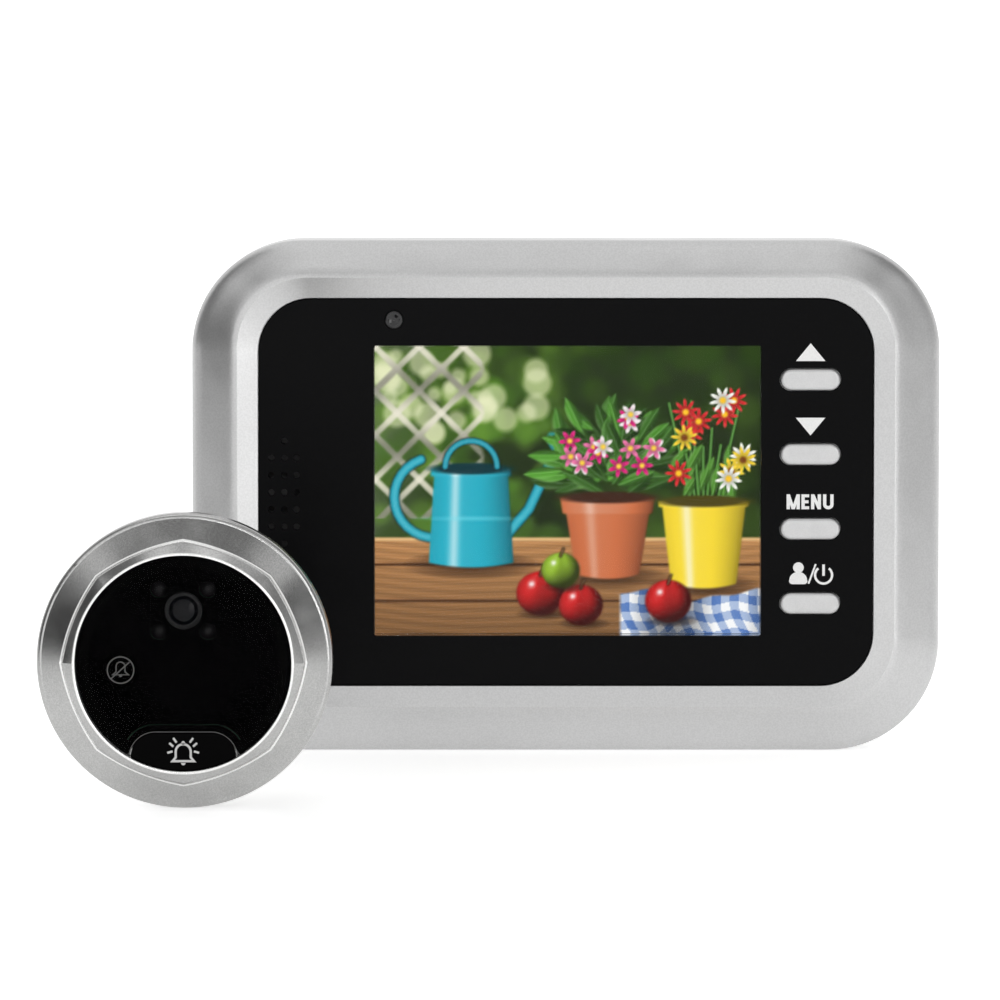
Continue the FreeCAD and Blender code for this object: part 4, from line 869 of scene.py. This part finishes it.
shadow(2.42, 0.6, 0.62, 0.14)
for number in range(90):
    turn = luck.uniform(0.05, math.pi - 0.05)
    far = luck.uniform(0.25, 0.9)
    shade_of = luck.uniform(0.55, 1.25)
    leaf(2.42 + far * 0.8 * math.cos(turn), 1.52 + far * math.sin(turn), 0.2, 0.065,
         turn + luck.uniform(-0.6, 0.6), np.clip(np.array([74, 132, 44]) * shade_of, 0, 255))
for number in range(15):
    turn, far = luck.uniform(0.3, math.pi - 0.3), luck.uniform(0.2, 0.85)
    tint = [(226, 40, 128), (250, 236, 240), (240, 120, 170)][number % 3]
    flower(2.42 + far * 0.72 * math.cos(turn), 1.6 + far * 0.88 * math.sin(turn), 0.115, tint,
           (250, 208, 70))
vessel(2.42, 0.62, 1.42, 0.33, 0.46, (206, 112, 70), rim=0.17, shine=0.25)

# %% Yellow bucket with its flowers
shadow(3.42, 0.5, 0.6, 0.14)
for number in range(12):
    lean = luck.uniform(-0.45, 0.45)
    top = luck.uniform(1.75, 2.45)
    tube_stroke([(3.42 + lean * 0.3, 1.25), (3.42 + lean, top)], 0.02, (70, 128, 44))
    leaf(3.42 + lean * 0.7, (1.25 + top) / 2, 0.16, 0.05, 1.2 + lean, (86, 146, 50))
for number in range(12):
    x, y = 3.42 + luck.uniform(-0.46, 0.46), luck.uniform(1.6, 2.45)
    tint = [(222, 46, 50), (252, 250, 244), (250, 214, 60), (222, 46, 50)][number % 4]
    flower(x, y, 0.14, tint, (252, 196, 40) if number % 4 != 2 else (120, 60, 20), 9)
vessel(3.42, 0.52, 1.38, 0.34, 0.44, (250, 218, 54), rim=0.06, shine=0.6)

# %% Fruit and cloth
def fruit(x, y, size, colour):
    """A ball lit from the upper left, with a window of light and a stalk."""
    away, u, v = ellipse(x, y, size, size * 0.92)
    depth = np.sqrt(np.clip(1 - u ** 2 - v ** 2, 0, 1))
    light = 0.3 + 0.75 * np.clip(-0.45 * u + 0.5 * v + 0.74 * depth, 0, 1)
    light = light + 0.7 * np.exp(-((u + 0.36) ** 2 + (v - 0.42) ** 2) / 0.02)
    streak = 1 + 0.08 * np.sin(9 * np.arctan2(v - 1.4, u))
    lay(inside(away), toned(colour, light * streak))
    tube_stroke([(x, y + size * 0.75), (x + 0.03, y + size * 1.12)], 0.014, (84, 56, 26))


folds = 0.08 * np.sin(across * 5.2) + 0.04 * np.sin(across * 11 + 1)
cloth = inside(up - 0.4 - folds * 0.7) * inside(2.55 - across, 0.02)
slant = across * 0.97 + up * 0.24 + 0.05 * np.sin(up * 7)
check = 0.5 * (np.sin(slant * 34) > 0) + 0.5 * (np.sin((up - 0.24 * across + folds) * 34) > 0)
blue = 0.75 * check[..., None]
light = 0.8 + 0.28 * np.sin(across * 5.2 + 1.2)
lay(cloth, toned((250, 250, 252), light) * (1 - blue) + toned((36, 84, 170), light) * blue)
for x, y, size in [(1.72, 0.42, 0.25), (2.14, 0.3, 0.23), (1.93, 0.66, 0.2), (3.05, 0.34, 0.24)]:
    shadow(x + 0.04, y - size * 0.85, size * 1.2, 0.07)
    fruit(x, y, size, (206, 34, 34) if size != 0.2 else (150, 188, 52))
print("picture painted, mean level", round(float(canvas.mean()), 2))

# %% Picture to display
def to_linear(level):
    """Display levels to linear light: the usual curve with its straight foot."""
    return np.where(level <= 0.04045, level / 12.92, ((level + 0.055) / 1.055) ** 2.4)


display, tree, lit = new_material("lit_display")
constants(lit, Base_Color=(0.01, 0.01, 0.01, 1), Roughness=0.3, Emission_Strength=1.0,
          Specular_IOR_Level=0.0)
tree.links.new(kept_tone(tree)["Color"], lit.inputs["Emission Color"])

screen_low, screen_high, screen_foot, screen_top = -24.28, 24.68, 14.89, 51.61
screen_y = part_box("lcd_glass")[0].y / MM - 0.02
wide, tall = np.meshgrid(np.linspace(screen_low, screen_high, COLUMNS),
                         np.linspace(screen_foot, screen_top, ROWS))
sheet_points = spots(wide, screen_y, tall)
sheet_tones = np.ones((ROWS, COLUMNS, 4))
sheet_tones[..., :3] = to_linear(np.clip(canvas, 0, 1))
screen_picture = grid_mesh("screen_picture", sheet_points, display, around=False, tones=sheet_tones)
placed(screen_picture, "root")

# %% [markdown]
# ## Floor and light
# The floor is plain and pale. Through the camera it is lifted to white, and it keeps the shadow and
# a short soft reflection. The light is a big soft window at the right, a weaker one above, a small
# lamp in front for the sparks, and a pale room whose walls each have their own grey, because satin
# metal shows the room more than its own colour.

# %% Floor
def worked(tree, kind, first, *others):
    """Numbers, sockets or both, through a chain of Math nodes of one kind."""
    for other in others:
        step = tree.nodes.new("ShaderNodeMath")
        step.operation = kind
        for socket, value in zip(step.inputs, (first, other)):
            if isinstance(value, float):
                socket.default_value = value
            else:
                tree.links.new(value, socket)
        first = step.outputs["Value"]
    return first


def floor_material(lift):
    """White lacquer with a little light of its own where a camera or gloss ray meets it."""
    material, tree, shader = new_material("floor_white")
    constants(shader, Base_Color=(0.9, 0.9, 0.9, 1), Roughness=0.34, IOR=1.2,
              Emission_Color=(1, 1, 1, 1))
    ray = tree.nodes.new("ShaderNodeLightPath").outputs
    met = worked(tree, "MAXIMUM", ray["Is Camera Ray"], ray["Is Glossy Ray"],
                 ray["Is Transmission Ray"])
    tree.links.new(worked(tree, "MULTIPLY", met, lift), shader.inputs["Emission Strength"])
    return material


span = np.linspace(-3000, 3000, 9)
floor_x, floor_y = np.meshgrid(span, span)
floor = grid_mesh("floor", spots(floor_x, floor_y, 0), floor_material(0.5), around=False)
print("floor laid")

# %% Room
room = bpy.data.worlds.new("room")
bpy.context.scene.world = room
room.use_nodes = True
tree = room.node_tree
sky = tree.nodes["Background"]
way = tree.nodes.new("ShaderNodeTexCoord")
split = tree.nodes.new("ShaderNodeSeparateXYZ")
tree.links.new(way.outputs["Generated"], split.inputs["Vector"])
side_x, side_y, side_z = split.outputs

left_light = spread(tree, side_x, 0.16, 1.36, (-0.80, -0.62))
left_light = worked(tree, "MULTIPLY", left_light, spread(tree, side_x, 1.0, 0.84, (-0.32, -0.12)))
right_light = spread(tree, side_x, 1.0, 0.45, (0.66, 0.76))
roof_front = spread(tree, side_z, 1.0, 0.22, (0.58, 0.70))
roof_back = spread(tree, side_z, 0.0, 0.7, (0.88, 0.97))
behind = spread(tree, side_y, 0.0, 1.0, (-0.1, 0.35))
aside = spread(tree, worked(tree, "ABSOLUTE", side_x, 0.0), 0.0, 1.0, (0.2, 0.45))
raised = spread(tree, side_z, 0.0, 1.0, (0.25, 0.45))
corner = worked(tree, "MULTIPLY", 0.22, worked(tree, "MULTIPLY", aside, raised))
corner = worked(tree, "SUBTRACT", 1.0, corner)
sides = worked(tree, "MULTIPLY", left_light, right_light)
front = worked(tree, "MULTIPLY", sides, worked(tree, "ADD", roof_front, roof_back), corner)
level = worked(tree, "MAXIMUM", front, behind)
ray = tree.nodes.new("ShaderNodeLightPath").outputs
seen = worked(tree, "MAXIMUM", ray["Is Camera Ray"], ray["Is Transmission Ray"])
tree.links.new(worked(tree, "MAXIMUM", level, seen), sky.inputs["Strength"])
sky.inputs["Color"].default_value = (1, 1, 1, 1)
print("room lit")

# %% Lamps
middle = np.array([0.0, -20.0, 32.0])


def window(name, azimuth, elevation, far, wide, tall, power):
    """A soft rectangular lamp at a bearing round the object, turned to face its middle.

    The camera doesn't see it, so that a view from its side isn't hidden by its back.
    """
    a, e = math.radians(azimuth), math.radians(elevation)
    out = np.array([math.sin(a) * math.cos(e), -math.cos(a) * math.cos(e), math.sin(e)])
    lamp = bpy.data.lights.new(name, "AREA")
    lamp.shape = "RECTANGLE"
    lamp.size, lamp.size_y = wide, tall
    lamp.energy = power
    holder = bpy.data.objects.new(name, lamp)
    bpy.context.scene.collection.objects.link(holder)
    holder.location = (middle + out * far) * MM
    holder.rotation_euler = Vector(out.tolist()).to_track_quat("Z", "Y").to_euler()
    holder.visible_camera = False
    print(name, "at", [round(float(v), 2) for v in holder.location], "power", power)


window("window_right", 31, 4, 1100, 0.42, 0.76, 2.0)
window("window_top", 0, 63, 320, 0.4, 0.16, 0.115)
window("lamp_small", -2, 5, 800, 0.04, 0.04, 0.08)

# %% [markdown]
# ## Cards beside the object
# Photographers stand cards beside a shiny object, out of the picture: the metal mirrors them, and
# each side of the frame takes its own grey. A dark card stands at the left, a pale one at the
# right, and a dark one before it for the round unit. Only the mirrored rays meet them: the camera
# passes through, and they throw no shadow on the floor.

# %% Cards
def card(name, x, start, end, tall, grey):
    """An upright sheet across the floor at x, from one depth to another."""
    paint = finish(name + "_paint", (grey, grey, grey), 0.9, clouds=0.05, cloud_size=60)
    depth, height = np.meshgrid(np.linspace(start, end, 5), np.linspace(1, tall, 5))
    sheet = grid_mesh(name, spots(x, depth, height), paint, around=False)
    sheet.visible_camera = sheet.visible_diffuse = sheet.visible_shadow = False
    print(name, "stands at x", x, "mm")


card("card_left", -300.0, -330, -118, 120, 0.05)
card("card_right", 300.0, -285, -50, 120, 0.75)
card("card_unit", 300.0, -430, -290, 260, 0.1)
